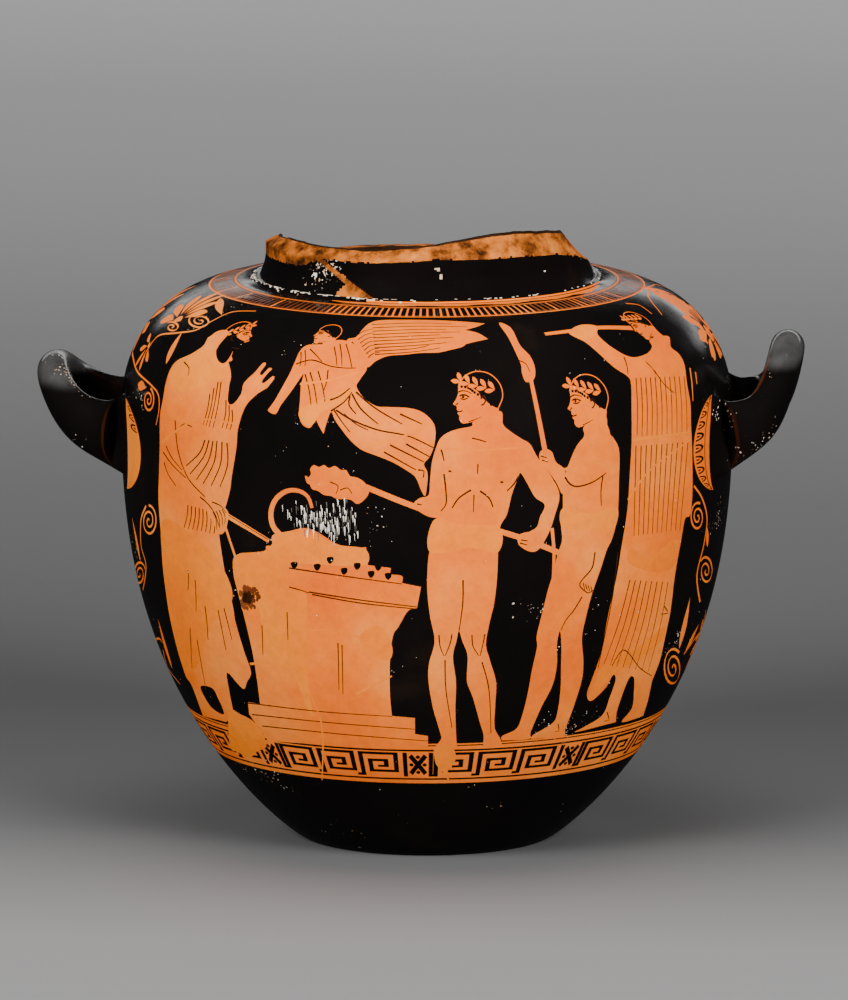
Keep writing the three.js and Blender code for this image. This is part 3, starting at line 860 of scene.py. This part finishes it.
def repairs():
    drawn("fill", [(229, 711), (240, 714), (254, 722), (263.5, 735), (266, 747), (258, 751), (250, 757),
        (238, 752), (230, 746)])
    drawn("fill", [(434, 750), (440, 745), (449, 745), (455, 752), (455, 761), (448, 768), (449, 781),
        (443, 772), (436, 764)])
    for path in ([(162, 442), (196, 420), (236, 424)], [(632, 440), (660, 436), (690, 432)],
                 [(628, 500), (650, 470), (690, 440)], [(437, 448), (480, 450), (529, 447)],
                 [(300, 384), (330, 380), (358, 372)], [(363, 446), (398, 438), (434, 424)],
                 [(250, 664), (280, 662), (300, 674), (318, 712)], [(356, 694), (380, 682), (392, 676)],
                 [(289, 632), (330, 630), (362, 638)], [(320, 716), (323, 742), (322, 780)],
                 [(563, 470), (590, 462), (619, 470)]):
        stroke(path, 1.3, "fill", (1, 0.6))
    # Pale downward scuffs on the black, between the ram's horn and the meat
    for _ in range(210):
        x, y = 328 + 22 * dice.gauss(0, 1), 519 + 10 * dice.gauss(0, 1)
        if 281 < x < 358 and 498 + max(0, 320 - x) * 0.1 < y < 532 + max(0, x - 310) * 0.18:
            long = 3 + 7 * dice.random()
            stroke([(x, y), (x + 0.3, y + long / 2), (x + 0.4, y + long)], 0.3 + 0.35 * dice.random(),
                   "chip" if dice.random() < 0.55 else "dust", (1, 0.3))
    # Small chips scattered over the black
    for _ in range(150):
        x, y = 150 + 560 * dice.random(), 330 + 500 * dice.random()
        size = 0.3 + 0.5 * dice.random() ** 3
        stroke([(x, y), (x + size, y + size * (dice.random() - 0.5))], size, "chip", (1, 0.5))


meanderBand()
tongueBand()
for side in (-1, 1):
    handleFlorals(side)
for bearing, turned, staff in ((127, 1, False), (163, -1, True), (207, -1, False)):
    mantleYouth(bearing, turned, staff)
altar()
beardedMan()
wingedFigure()
spitAndMeat()
middleYouth()
fluteGirl()
rightYouth()
repairs()
for form in handles:
    for end in (-1, 1):
        rootOrnament(form, end)
sides = handleForm["sides"]
for form in handles:
    for end in (-1, 1):
        lay("hole", [rootPoint(form, end, 2 * math.pi * k / sides) for k in range(sides)])
print("shapes drawn:", len(shapes))


# The skin of the body: the unrolled shapes are cut into triangles together, then wrapped round

skinForm = {"gridStep": 5.0, "topColumns": 400, "footColumns": 160, "sideRows": 84}


def wrapBody():
    coords, faces = [], []
    for _, points in shapes:
        start = len(coords)
        coords += [Vector(p) for p in points]
        faces.append(list(range(start, start + len(points))))
    edges = []
    border = [Vector((-halfWay + 2 * halfWay * i / skinForm["footColumns"], 0))
              for i in range(skinForm["footColumns"] + 1)]
    rows = skinForm["sideRows"]
    border += [Vector((halfWay, topV * i / rows)) for i in range(1, rows)]
    border += [Vector((halfWay - 2 * halfWay * i / skinForm["topColumns"], topV))
               for i in range(skinForm["topColumns"] + 1)]
    border += [Vector((-halfWay, topV * (rows - i) / rows)) for i in range(1, rows)]
    start = len(coords)
    coords += border
    edges += [(start + i, start + (i + 1) % len(border)) for i in range(len(border))]
    step = skinForm["gridStep"]
    columns, lines = int(2 * halfWay / step), int(topV / step)
    for j in range(1, lines):
        for i in range(1, columns):
            across = (i + 0.5 * (j % 2)) / columns
            coords.append(Vector((-halfWay + 2 * halfWay * across, topV * j / lines)))
    points, _, triangles, _, _, inside = geometry.delaunay_2d_cdt(coords, edges, faces, 0, 1e-5, True)
    return points, triangles, inside


points2d, triangles2d, insideOf = wrapBody()
print("skin triangles:", len(triangles2d))

mesh = bmesh.new()
bakeMap = mesh.loops.layers.uv.new("OFBake")


# Unwraps the skin for baking: the front half large, the back half small below it
def layFlat(face, flatPoints):
    centre = sum(p[0] for p in flatPoints) / len(flatPoints)
    for loop, p in zip(face.loops, flatPoints):
        if abs(centre) < halfWay / 2:
            loop[bakeMap].uv = (0.005 + 0.99 * (p[0] + halfWay / 2) / halfWay, 0.325 + 0.67 * p[1] / topV)
        else:
            across = p[0] - halfWay / 2 if centre > 0 else p[0] + 3 * halfWay / 2
            loop[bakeMap].uv = (0.005 + 0.44 * across / halfWay, 0.005 + 0.305 * p[1] / topV)


places = [onPot(p[0], p[1]) for p in points2d]
wrappedVerts = [mesh.verts.new(place) for place, _ in places]
for face, owners in zip(triangles2d, insideOf):
    finish = shapes[max(owners)][0] if owners else "gloss"
    if finish == "hole":
        continue
    made = mesh.faces.new([wrappedVerts[i] for i in face])
    made.material_index = finishes.index(finish)
    made.smooth = True
    layFlat(made, [points2d[i] for i in face])


# Neck, break, inside and underside

# Heights that a table gives for a direction, or None where it doesn't reach
def heightsAt(table, degrees):
    degrees %= 360
    for a, b in zip(table, table[1:]):
        if a[0] <= degrees <= b[0]:
            share = (degrees - a[0]) / (b[0] - a[0])
            return [potForm["shoulderHeight"] + x + (y - x) * share for x, y in zip(a[1:], b[1:])]


def bearingOf(place):
    return math.degrees(math.atan2(place.x, -place.y))


def ringVerts(count, place):
    ring = []
    for i in range(count):
        degrees = 360 * i / count - 180
        ring.append(mesh.verts.new(place(degrees)))
    return ring


def around(degrees, radius, height):
    turn = math.radians(degrees)
    return Vector((radius * math.sin(turn), -radius * math.cos(turn), height))


# Faces between two rings of as many points, the lower one first. patch is the rectangle of the bake map
# that they fill, from x0, y0 to x1, y1.
def bridge(lower, upper, finish, patch):
    count = len(lower)
    x0, y0, x1, y1 = patch
    for i in range(count):
        j = (i + 1) % count
        face = mesh.faces.new((lower[i], lower[j], upper[j], upper[i]))
        left, right = x0 + (x1 - x0) * i / count, x0 + (x1 - x0) * (i + 1) / count
        for loop, place in zip(face.loops, ((left, y0), (right, y0), (right, y1), (left, y1))):
            loop[bakeMap].uv = place
        centre = (lower[i].co + upper[j].co) / 2
        face.material_index = finishes.index(finish(centre) if callable(finish) else finish)
        face.smooth = True


def fan(ring, middle, finish, patch, turned):
    for i in range(len(ring)):
        pair = (ring[(i + 1) % len(ring)], ring[i]) if turned else (ring[i], ring[(i + 1) % len(ring)])
        face = mesh.faces.new((*pair, middle))
        share = i / len(ring)
        for loop, place in zip(face.loops, ((share, 0), (share + 1 / len(ring), 0), (share, 1))):
            loop[bakeMap].uv = (patch[0] + (patch[2] - patch[0]) * place[0],
                                patch[1] + (patch[3] - patch[1]) * place[1])
        face.material_index = finishes.index(finish)
        face.smooth = True


# The share of a patch of the bake map that step n of count steps up it fills
def strip(patch, n, count):
    tall = (patch[3] - patch[1]) / count
    return patch[0], patch[1] + tall * n, patch[2], patch[1] + tall * (n + 1)


def roughness(point, size, seed=0.0):
    return noise.noise(point * (1 / size) + Vector((seed, seed * 0.7, -seed)))


# Chips in the gloss of the neck: degrees, height above the shoulder and size
neckChips = [(322, 9, 1.5), (316, 9.5, 0.7), (309, 9, 0.5), (9, 14.5, 1.4), (10.5, 11, 1.1), (52, 10, 0.7),
             (55, 8.6, 0.6)]


# Gloss on the neck, bare clay above the flaked edge, in the slanting scar and along the break
def neckFinish(place, lip):
    degrees = bearingOf(place) % 360
    rise = place.z - potForm["shoulderHeight"]
    ragged = 0.7 * roughness(place, 4.5, 3) + 0.5 * roughness(place, 1.5, 6)
    flaked = heightsAt(flakedGloss, degrees)
    if place.z > min(lip - 0.7, *(flaked or [lip])) + ragged:
        return "broken"
    scarRight = 347 - 1.25 * rise + ragged
    scarWide = 3.6 + 11 * max(0, 1 - rise / 6) + ragged
    if scarRight - scarWide < degrees < scarRight and rise < 19:
        return "broken"
    for turn, height, size in neckChips:
        if math.hypot((degrees - turn) * 1.42, rise - height) < size + 1.1 * ragged - 0.3:
            return "chip"
    return "gloss"


# The ring under the neck: flecked white on the left, worn to the clay on the right
def ringFinish(place, part):
    degrees = bearingOf(place)
    fleck = 1.2 * roughness(place, 0.9, 11) + 0.5 * roughness(place, 5, 12)
    if -105 < degrees < 2 and fleck > 0.1 + 0.13 * abs(part - 4):
        return "chip"
    if -14 < degrees < 84 and part in (0, 1):
        return "clay"
    if part in (3, 4) and fleck > 0.5:
        return "chip"
    return "gloss"


def neckRings():
    columns = skinForm["topColumns"]
    ringHeight = outerRows[-1][2] + 0.25
    out = potForm["ringThickness"] / 2
    edge = ringVerts(columns, lambda d: around(d, outerRows[-1][1], outerRows[-1][2]))
    rings = [(edge, None)]
    for i in range(1, 8):
        turn = math.pi * i / 8
        rings.append((ringVerts(columns, lambda d: around(
            d, potForm["ringRadius"] + out * math.cos(turn),
            ringHeight + (out + 0.25 * roughness(around(d, 87, 0), 9)) * math.sin(turn))),
            lambda place, i=i: ringFinish(place, i)))
    foot = ringHeight + 0.4
    rises = 26

    def lipJag(d):
        return 0.4 * roughness(around(d, 82, 0), 6, 3) + 0.2 * roughness(around(d, 82, 0), 1.9, 5)

    for i in range(rises + 1):
        share = i / rises

        def place(d, share=share):
            low, high = heightsAt(neckBreak, d)
            height = foot + (low + lipJag(d) - foot) * share
            fall = max(0, 1 - (height - foot) / potForm["neckFlareHeight"])
            return around(d, potForm["neckRadius"] + potForm["neckFlare"] * fall ** 2, height)
        rings.append((ringVerts(columns, place), lambda place: neckFinish(
            place, heightsAt(neckBreak, bearingOf(place))[0])))
    for i in range(1, 9):
        share = i / 8

        def place(d, share=share):
            low, high = heightsAt(neckBreak, d)
            innerJag = 0.5 * roughness(around(d, 75, 0), 9, 8) + 0.2 * roughness(around(d, 75, 0), 2.6, 9)
            # The inner edge is worn round at the far left, where the break stands up
            innerJag -= 1.9 * math.exp(-((d + 79) / 9) ** 2)
            height = low + lipJag(d) + (high + innerJag - low - lipJag(d)) * share
            radius = potForm["neckRadius"] - potForm["neckWall"] * share
            flaw = around(d, radius, height)
            unevenness = 0.5 * roughness(flaw, 7, 1) + 0.25 * roughness(flaw, 2.4, 2)
            height += math.sin(math.pi * share) * unevenness
            return around(d, radius, height)
        rings.append((ringVerts(columns, place), "broken" if i < 8 else "inside"))
    return rings


# The inside, from the break down to the middle of the floor
def innerRings():
    innerNeck = potForm["neckRadius"] - potForm["neckWall"]
    rows = tabulate(innerNeck + potForm["throatFillet"])
    wall = potForm["wall"]
    curve = [(r - outR * wall, z - outZ * wall) for _, r, z, outR, outZ in rows]
    curve = [p for p in curve if p[1] > potForm["floorThickness"] + wall / 2][::-1]
    steps = curve[::max(1, len(curve) // 15)]
    first = steps[0]
    throat = []
    for i in (3, 2, 1):
        turn = math.pi / 2 * i / 3
        throat.append((first[0] - (first[0] - innerNeck) * math.sin(turn),
                       first[1] + potForm["throatFillet"] * (1 - math.cos(turn))))
    floor = potForm["floorThickness"]
    steps = throat + steps + [(steps[-1][0] - wall * 0.9, floor + 0.6), (steps[-1][0] - wall * 1.6, floor)]
    steps += [(steps[-1][0] * share, floor) for share in (0.75, 0.5, 0.25)]
    return steps


neckPatch, innerPatch = (0.46, 0.2, 0.995, 0.315), (0.46, 0.12, 0.995, 0.195)
underPatch, handlePatch = (0.46, 0.09, 0.995, 0.115), (0.46, 0.005, 0.995, 0.085)
columns = skinForm["topColumns"]
above = neckRings()
for n, ((lower, _), (upper, finish)) in enumerate(zip(above, above[1:])):
    bridge(lower, upper, finish, strip(neckPatch, n, len(above) - 1))
last = above[-1][0]
inner = innerRings()
for n, (radius, height) in enumerate(inner):
    ring = ringVerts(columns, lambda d: around(d, radius, height))
    bridge(last, ring, "inside", strip(innerPatch, n, len(inner) + 1))
    last = ring
fan(last, mesh.verts.new(Vector((0, 0, potForm["floorThickness"]))), "inside",
    strip(innerPatch, len(inner), len(inner) + 1), False)
footCount = skinForm["footColumns"]
last = ringVerts(footCount, lambda d: around(d, outerRows[0][1], outerRows[0][2]))
flatRadius = potForm["standingRadius"] - potForm["standingEdge"]
under = (flatRadius, 52, 36, 18)
for n, radius in enumerate(under):
    ring = ringVerts(footCount, lambda d: around(d, radius, 0))
    bridge(ring, last, "broken", strip(underPatch, n, len(under) + 1))
    last = ring
fan(last, mesh.verts.new(Vector((0, 0, 0))), "broken", strip(underPatch, len(under), len(under) + 1), True)


# Handles, each sewn to the edges left open round its roots

def handleLine(form):
    spread = handleForm["rootSpread"]
    face = math.sqrt(potForm["bodyRadius"] ** 2 - spread ** 2)
    points = []
    for i in range(121):
        turn = math.pi * i / 120
        out = math.sin(turn) ** handleForm["loopFullness"]
        along = math.copysign(abs(math.cos(turn)) ** handleForm["loopFullness"], math.cos(turn))
        x = face + (form["reach"] - face) * out
        climb = handleForm["evenRise"] * out + (1 - handleForm["evenRise"]) * out ** form["curl"]
        z = form["rootHeight"] + (form["archHeight"] - form["rootHeight"]) * climb
        points.append(Vector((form["side"] * x, -spread * along, z)))
    lengths = [0]
    for a, b in zip(points, points[1:]):
        lengths.append(lengths[-1] + (b - a).length)
    return face, points, lengths


def handleRings(form):
    face, points, lengths = handleLine(form)
    side, sides = form["side"], handleForm["sides"]

    def pointAt(length):
        length = min(max(length, 0), lengths[-1])
        i = next(k for k in range(len(lengths) - 1) if lengths[k + 1] >= length)
        share = (length - lengths[i]) / (lengths[i + 1] - lengths[i])
        return points[i].lerp(points[i + 1], share)

    def section(length):
        middle = pointAt(length)
        ahead = (pointAt(length + 1.5) - pointAt(length - 1.5)).normalized()
        nearWall = min(1, (form["reach"] - abs(middle.x)) / (form["reach"] - face))
        girth = handleForm["girth"]
        share = handleForm["strandShare"]
        strand = share * (1 - (1 - nearWall) ** 2)
        flare = (1 - share) * max(0, nearWall) ** handleForm["rootFlare"]
        tall = girth + (form["rootTall"] - girth) * (strand + flare)
        wide = girth + (handleForm["rootWidth"] - girth) * max(0, nearWall) ** 4
        tallWay = (Vector((0, 0, 1)) - ahead * ahead.z).normalized()
        wideWay = tallWay.cross(ahead)
        ring = []
        for k in range(sides):
            turn = 2 * math.pi * k / sides
            ring.append(middle + wideWay * (wide / 2 * math.cos(turn))
                        + tallWay * (tall / 2 * math.sin(turn)))
        return ring

    # wideWay points along -Y times side at the front root; the root outlines are turned to match
    def rootRing(end):
        ring = []
        for k in range(sides):
            turn = 2 * math.pi * k / sides
            u, v = rootPoint(form, end, turn if side * end > 0 else math.pi - turn)
            ring.append(onPot(u, v)[0])
        return ring

    # Leaves the wall at a fillet and runs smoothly into the strand
    def settled(root, strand, beyond, share):
        h1, h2, h3 = share ** 3, share ** 2, share
        ring = []
        for a, b, c in zip(root, strand, beyond):
            leave = (b - a) * 0.75
            arrive = (b - c) * (b - a).length
            ring.append(a * (2 * h1 - 3 * h2 + 1) + leave * (h1 - 2 * h2 + h3) + b * (3 * h2 - 2 * h1)
                        + arrive * (h1 - h2))
        return ring

    total = lengths[-1]
    settle = handleForm["settle"]
    count = handleForm["steps"]
    shares = (0.06, 0.14, 0.24, 0.36, 0.5, 0.66, 0.83)
    front, back = rootRing(-1), rootRing(1)
    first, last = section(settle), section(total - settle)
    beforeFirst, afterLast = section(settle - 1), section(total - settle + 1)
    rings = [front] + [settled(front, first, beforeFirst, share) for share in shares]
    rings += [section(settle + (total - 2 * settle) * i / count) for i in range(count + 1)]
    rings += [settled(back, last, afterLast, share) for share in shares[::-1]]
    rings.append(back)
    return rings


for k, form in enumerate(handles):
    rings = [[mesh.verts.new(p) for p in ring] for ring in handleRings(form)]
    for n, (lower, upper) in enumerate(zip(rings, rings[1:])):
        bridge(lower, upper, "gloss", strip(strip(handlePatch, k, 2), n, len(rings) - 1))

bmesh.ops.remove_doubles(mesh, verts=mesh.verts, dist=0.004)
loose = [v for v in mesh.verts if not v.link_faces]
bmesh.ops.delete(mesh, geom=loose, context="VERTS")
openEdges = [e for e in mesh.edges if len(e.link_faces) != 2]
print("open edges:", len(openEdges))
bmesh.ops.recalc_face_normals(mesh, faces=mesh.faces)
bmesh.ops.scale(mesh, vec=(mm, mm, mm), verts=mesh.verts)
bmesh.ops.triangulate(mesh, faces=[f for f in mesh.faces if len(f.verts) > 4])
# Built from its own points and faces: no primitive or modifier can cut the painted outlines into
# one closed wall of clay
data = bpy.data.meshes.new("painted_pot")
mesh.to_mesh(data)
mesh.free()
pot = bpy.data.objects.new("painted_pot", data)
bpy.context.collection.objects.link(pot)
print("pot faces:", len(data.polygons), "vertices:", len(data.vertices))


# Materials

# An sRGB hex colour as linear values
def linear(code):
    parts = [int(code[i:i + 2], 16) / 255 for i in (1, 3, 5)]
    return [p / 12.92 if p <= 0.04045 else ((p + 0.055) / 1.055) ** 2.4 for p in parts] + [1]


# A node with its settings, and links into its sockets by name or number
def add(tree, kind, settings=None, **links):
    node = tree.nodes.new(kind)
    for name, value in (settings or {}).items():
        if name.startswith("in:"):
            key = name[3:]
            node.inputs[int(key) if key.isdigit() else key].default_value = value
        else:
            setattr(node, name, value)
    for name, source in links.items():
        key = name[1:] if name.startswith("_") else name.replace("_", " ")
        tree.links.new(source, node.inputs[int(key) if key.isdigit() else key])
    return node


def newMaterial(name):
    material = bpy.data.materials.new(name)
    material.use_nodes = True
    tree = material.node_tree
    tree.nodes.clear()
    out = add(tree, "ShaderNodeOutputMaterial")
    shader = add(tree, "ShaderNodeBsdfPrincipled")
    tree.links.new(shader.outputs[0], out.inputs[0])
    place = add(tree, "ShaderNodeTexCoord").outputs["Object"]
    return material, tree, shader, place


def noiseOf(tree, place, sizeMm, detail=3, rough=0.5, seed=0.0):
    shift = add(tree, "ShaderNodeMapping", {"in:Location": (seed, seed * 0.6, seed * 0.3)}, Vector=place)
    return add(tree, "ShaderNodeTexNoise", {"in:Scale": 1000 / sizeMm, "in:Detail": detail,
                                            "in:Roughness": rough}, Vector=shift.outputs[0]).outputs[0]


def ramp(tree, value, stops):
    node = add(tree, "ShaderNodeValToRGB", Fac=value)
    elements = node.color_ramp.elements
    while len(elements) < len(stops):
        elements.new(0.5)
    for element, (at, colour) in zip(elements, stops):
        element.position = at
        element.color = linear(colour) if isinstance(colour, str) else (colour, colour, colour, 1)
    return node.outputs[0]


def blend(tree, factor, first, second, mode="MIX"):
    node = add(tree, "ShaderNodeMix", {"data_type": "RGBA", "blend_type": mode})
    if isinstance(factor, float):
        node.inputs[0].default_value = factor
    else:
        tree.links.new(factor, node.inputs[0])
    tree.links.new(first, node.inputs[6])
    tree.links.new(second, node.inputs[7])
    return node.outputs[2]


def bump(tree, shader, height, strength, distanceMm):
    settings = {"in:Strength": strength, "in:Distance": distanceMm * mm}
    node = add(tree, "ShaderNodeBump", settings, Height=height)
    tree.links.new(node.outputs[0], shader.inputs["Normal"])


# Gives a shader its colour, a roughness that follows a noise, as two of its levels and the roughness at
# each, and a grain, as strength and depth in millimetres
def dress(tree, shader, colour, wear, levels, grain, strength, depth):
    tree.links.new(colour, shader.inputs["Base Color"])
    settings = {"in:" + str(n + 1): level for n, level in enumerate(levels)}
    rough = add(tree, "ShaderNodeMapRange", settings, _0=wear)
    tree.links.new(rough.outputs[0], shader.inputs["Roughness"])
    bump(tree, shader, grain, strength, depth)


# Where the tops of the handles are rubbed and carry a painted grey sheen: heights, and how much higher this
# is on the right one
tipSheenAndWear = {"from": 236, "to": 243, "lean": 7}


# Attic black gloss: a fired slip, near black, brown where thin, with small chips and pits, and a painted
# grey sheen on the handle tops
def glossSlip():
    material, tree, shader, place = newMaterial("attic_black_gloss")
    thin = noiseOf(tree, place, 60, 4, 0.6, 1.0)
    base = ramp(tree, thin, [(0.3, "#090707"), (0.62, "#0D0A09"), (0.8, "#1C120D")])
    # The tops of the handles are rubbed dull and painted grey as a sheen: worn is how far a place lies
    # within them
    split = add(tree, "ShaderNodeSeparateXYZ", {}, _0=place)
    beyond = add(tree, "ShaderNodeMath", {"operation": "ABSOLUTE"}, _0=split.outputs[0]).outputs[0]
    beyond = add(tree, "ShaderNodeMath", {"operation": "GREATER_THAN", "in:1": 0.16}, _0=beyond).outputs[0]
    side = add(tree, "ShaderNodeMath", {"operation": "SIGN"}, _0=split.outputs[0]).outputs[0]
    lean = add(tree, "ShaderNodeMath", {"operation": "MULTIPLY_ADD", "in:1": -tipSheenAndWear["lean"] * mm},
               _0=side, _2=split.outputs[2]).outputs[0]
    worn = add(tree, "ShaderNodeMapRange", {"in:1": tipSheenAndWear["from"] * mm, "in:2": tipSheenAndWear["to"] * mm,
                                            "interpolation_type": "SMOOTHSTEP"}, _0=lean).outputs[0]
    worn = add(tree, "ShaderNodeMath", {"operation": "MULTIPLY"}, _0=worn, _1=beyond).outputs[0]
    # Painted grey sheen for the handle tops
    rubbedSheenGrey = ramp(tree, noiseOf(tree, place, 12, 4, 0.6, 7.0), [(0.3, "#2C2B2B"), (0.7, "#424140")])
    base = blend(tree, worn, base, rubbedSheenGrey)
    pits = noiseOf(tree, place, 1.5, 2, 0.5, 4.0)
    patch = noiseOf(tree, place, 45, 2, 0.5, 9.0)
    both = add(tree, "ShaderNodeMath", {"operation": "MULTIPLY"}, _0=pits, _1=patch).outputs[0]
    chips = ramp(tree, both, [(0.0, 0.0), (0.455, 0.0), (0.46, 1.0)])
    chipColour = ramp(tree, noiseOf(tree, place, 6, 2, 0.5, 2.0), [(0.35, "#B98658"), (0.6, "#E6D9C6")])
    wear = noiseOf(tree, place, 18, 5, 0.65, 6.0)
    brush = noiseOf(tree, place, 9, 3, 0.55, 3.0)
    colour = blend(tree, chips, base, chipColour)
    dress(tree, shader, colour, wear, (0.3, 0.75, 0.13, 0.3), brush, 0.12, 0.25)
    shader.inputs["IOR"].default_value = 1.5
    return material


# Share of the usual mirror shine that the bare clay has
clayShine = 0.2


# Burnished reserved clay, warm orange with paler and pinker patches and faint turning marks
def claySkin(name, low, mid, high, smoothest, seed):
    material, tree, shader, place = newMaterial(name)
    broad = noiseOf(tree, place, 70, 3, 0.55, seed)
    base = ramp(tree, broad, [(0.32, low), (0.5, mid), (0.68, high)])
    fine = noiseOf(tree, place, 5, 5, 0.7, seed + 3)
    tint = ramp(tree, fine, [(0.3, "#C9C0B8"), (0.6, "#FFFFFF")])
    mixed = blend(tree, 0.35, base, tint, "MULTIPLY")
    dress(tree, shader, mixed, fine, (0.3, 0.7, smoothest, smoothest + 0.16), fine, 0.15, 0.2)
    shader.inputs["Specular IOR Level"].default_value = clayShine
    return material


# Relief lines and dilute wash: slip drawn thin, dark brown
def reliefLine():
    material, tree, shader, place = newMaterial("relief_line_slip")
    load = noiseOf(tree, place, 7, 3, 0.6, 2.0)
    colour = ramp(tree, load, [(0.35, "#1A0C05"), (0.65, "#3C1D0C")])
    dress(tree, shader, colour, load, (0.3, 0.7, 0.25, 0.4), load, 0.1, 0.1)
    return material


# Clay laid bare by a break: rough, orange brown, with soot-dark stains, darker towards the left
def brokenClay():
    material, tree, shader, place = newMaterial("broken_clay")
    stain = noiseOf(tree, place, 14, 5, 0.7, 5.0)
    split = add(tree, "ShaderNodeSeparateXYZ", {}, _0=place)
    stain = add(tree, "ShaderNodeMath", {"operation": "MULTIPLY_ADD", "in:1": 0.5}, _0=split.outputs[0],
                _2=stain).outputs[0]
    base = ramp(tree, stain, [(0.34, "#2A170C"), (0.43, "#6A3611"), (0.53, "#A6581B"), (0.7, "#C87631")])
    grit = noiseOf(tree, place, 2.2, 6, 0.75, 1.5)
    dress(tree, shader, base, grit, (0.2, 0.8, 0.75, 0.95), grit, 0.4, 0.4)
    return material


# The inside: clay with a thin, dull brown-black wash
def dullInside():
    material, tree, shader, place = newMaterial("thin_inside_wash")
    wash = noiseOf(tree, place, 30, 5, 0.65, 8.0)
    colour = ramp(tree, wash, [(0.35, "#1A100A"), (0.55, "#2E1B10"), (0.72, "#6B3D1E")])
    dress(tree, shader, colour, wash, (0.3, 0.7, 0.5, 0.75), wash, 0.3, 0.5)
    return material


finishMaterials = {
    "gloss": glossSlip(),
    "clay": claySkin("reserved_clay", "#DC5E08", "#E66C0E", "#EA822E", 0.38, 0.0),
    "line": reliefLine(),
    "fill": claySkin("tinted_repair_fill", "#DE6A06", "#E6760C", "#EA801C", 0.5, 5.0),
    "broken": brokenClay(),
    # The brown wash serves the burnt spot and, on the tongue band's sides, painted shade
    "wash": claySkin("thin_brown_wash", "#4A2210", "#6B3418", "#8A4A22", 0.25, 2.0),
    "chip": claySkin("pale_chip", "#CDB08C", "#E2D2B8", "#EFE6D6", 0.7, 3.0),
    "dust": claySkin("scuffed_gloss", "#3A3630", "#5E5A52", "#8D877B", 0.6, 6.0),
    "inside": dullInside(),
}
for finish in finishes[:-1]:
    data.materials.append(finishMaterials[finish])
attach(pot, "root")
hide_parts("stamnos")
print("materials made")


# Floor, light and camera

# The floor's greys are painted light and shade, not an even grey
stageForm = {"floorSize": 30, "paintedFloorShade": [(-0.28, "#7C7C7C"), (0.0, "#5B5B5B"), (0.36, "#4E4E4E"),
                                        (1.0, "#646464"), (2.0, "#868686"), (3.3, "#9C9C9C")]}
bpy.ops.object.select_all(action="DESELECT")
bpy.ops.mesh.primitive_plane_add(size=stageForm["floorSize"], location=(0, 0, 0))
floor = bpy.context.object
floor.name = "studio_floor"
floorMaterial, tree, shader, place = newMaterial("floor_grey_painted_light_and_shade")
# The floor's grey is painted light and shade, darkest just behind the pot and paler in front and far back:
# distances behind the pot in metres, and its grey there
split = add(tree, "ShaderNodeSeparateXYZ", {}, _0=place)
depth = add(tree, "ShaderNodeMapRange", {"in:1": -1.0, "in:2": 4.0, "in:3": 0.0, "in:4": 1.0},
            _0=split.outputs[1])
grey = ramp(tree, depth.outputs[0], [((metres + 1) / 5, shade) for metres, shade in stageForm["paintedFloorShade"]])
tree.links.new(grey, shader.inputs["Base Color"])
shader.inputs["Roughness"].default_value = 0.9
floor.data.materials.append(floorMaterial)
floor.visible_glossy = False


def softLight(name, place, aim, width, height, power, inGloss=True):
    bpy.ops.object.light_add(type="AREA", location=place)
    lamp = bpy.context.object
    lamp.name = name
    lamp.data.shape = "RECTANGLE"
    lamp.data.size, lamp.data.size_y = width, height
    lamp.data.energy = power
    direction = Vector(aim) - Vector(place)
    lamp.rotation_euler = direction.to_track_quat("-Z", "Y").to_euler()
    lamp.visible_glossy = inGloss


softLight("back_sheen", (0.0, 2.6, 0.87), (0, 0, 0.28), 3.2, 0.28, 5)
softLight("front_left_soft", (-1.7, -2.4, 1.5), (0, 0, 0.17), 1.2, 1.6, 152, False)
softLight("front_right_soft", (1.9, -2.2, 1.3), (0, 0, 0.17), 1.2, 1.6, 152, False)
softLight("overhead_soft", (0.0, -0.2, 2.2), (0, 0, 0.2), 1.2, 1.2, 30, False)
softLight("backdrop_soft", (0.0, 3.6, 1.7), (0, 3.6, 0), 5.0, 1.5, 66, False)
world = bpy.data.worlds.new("studio_grey")
world.use_nodes = True
world.node_tree.nodes["Background"].inputs[0].default_value = linear("#8A8A8C")
world.node_tree.nodes["Background"].inputs[1].default_value = 0.05
bpy.context.scene.world = world

lookUp, lookTurn = math.radians(view["elevation"]), math.radians(view["azimuth"])
level = math.cos(lookUp)
back = Vector((math.sin(lookTurn) * level, -math.cos(lookTurn) * level, math.sin(lookUp)))
right = Vector((math.cos(lookTurn), math.sin(lookTurn), 0))
aim = Vector((0, 0, view["aimHeight"] * mm)) + right * view["aimSide"] * mm
bpy.ops.object.camera_add(location=aim + back * view["distance"] * mm)
camera = bpy.context.object
camera.rotation_euler = (-back).to_track_quat("-Z", "Y").to_euler()
camera.data.sensor_width = view["sensorWidth"]
camera.data.lens = view["sensorWidth"] * view["distance"] * view["pixelsPerMm"] / view["frameHeight"]
camera.data.clip_end = 60
bpy.context.scene.camera = camera
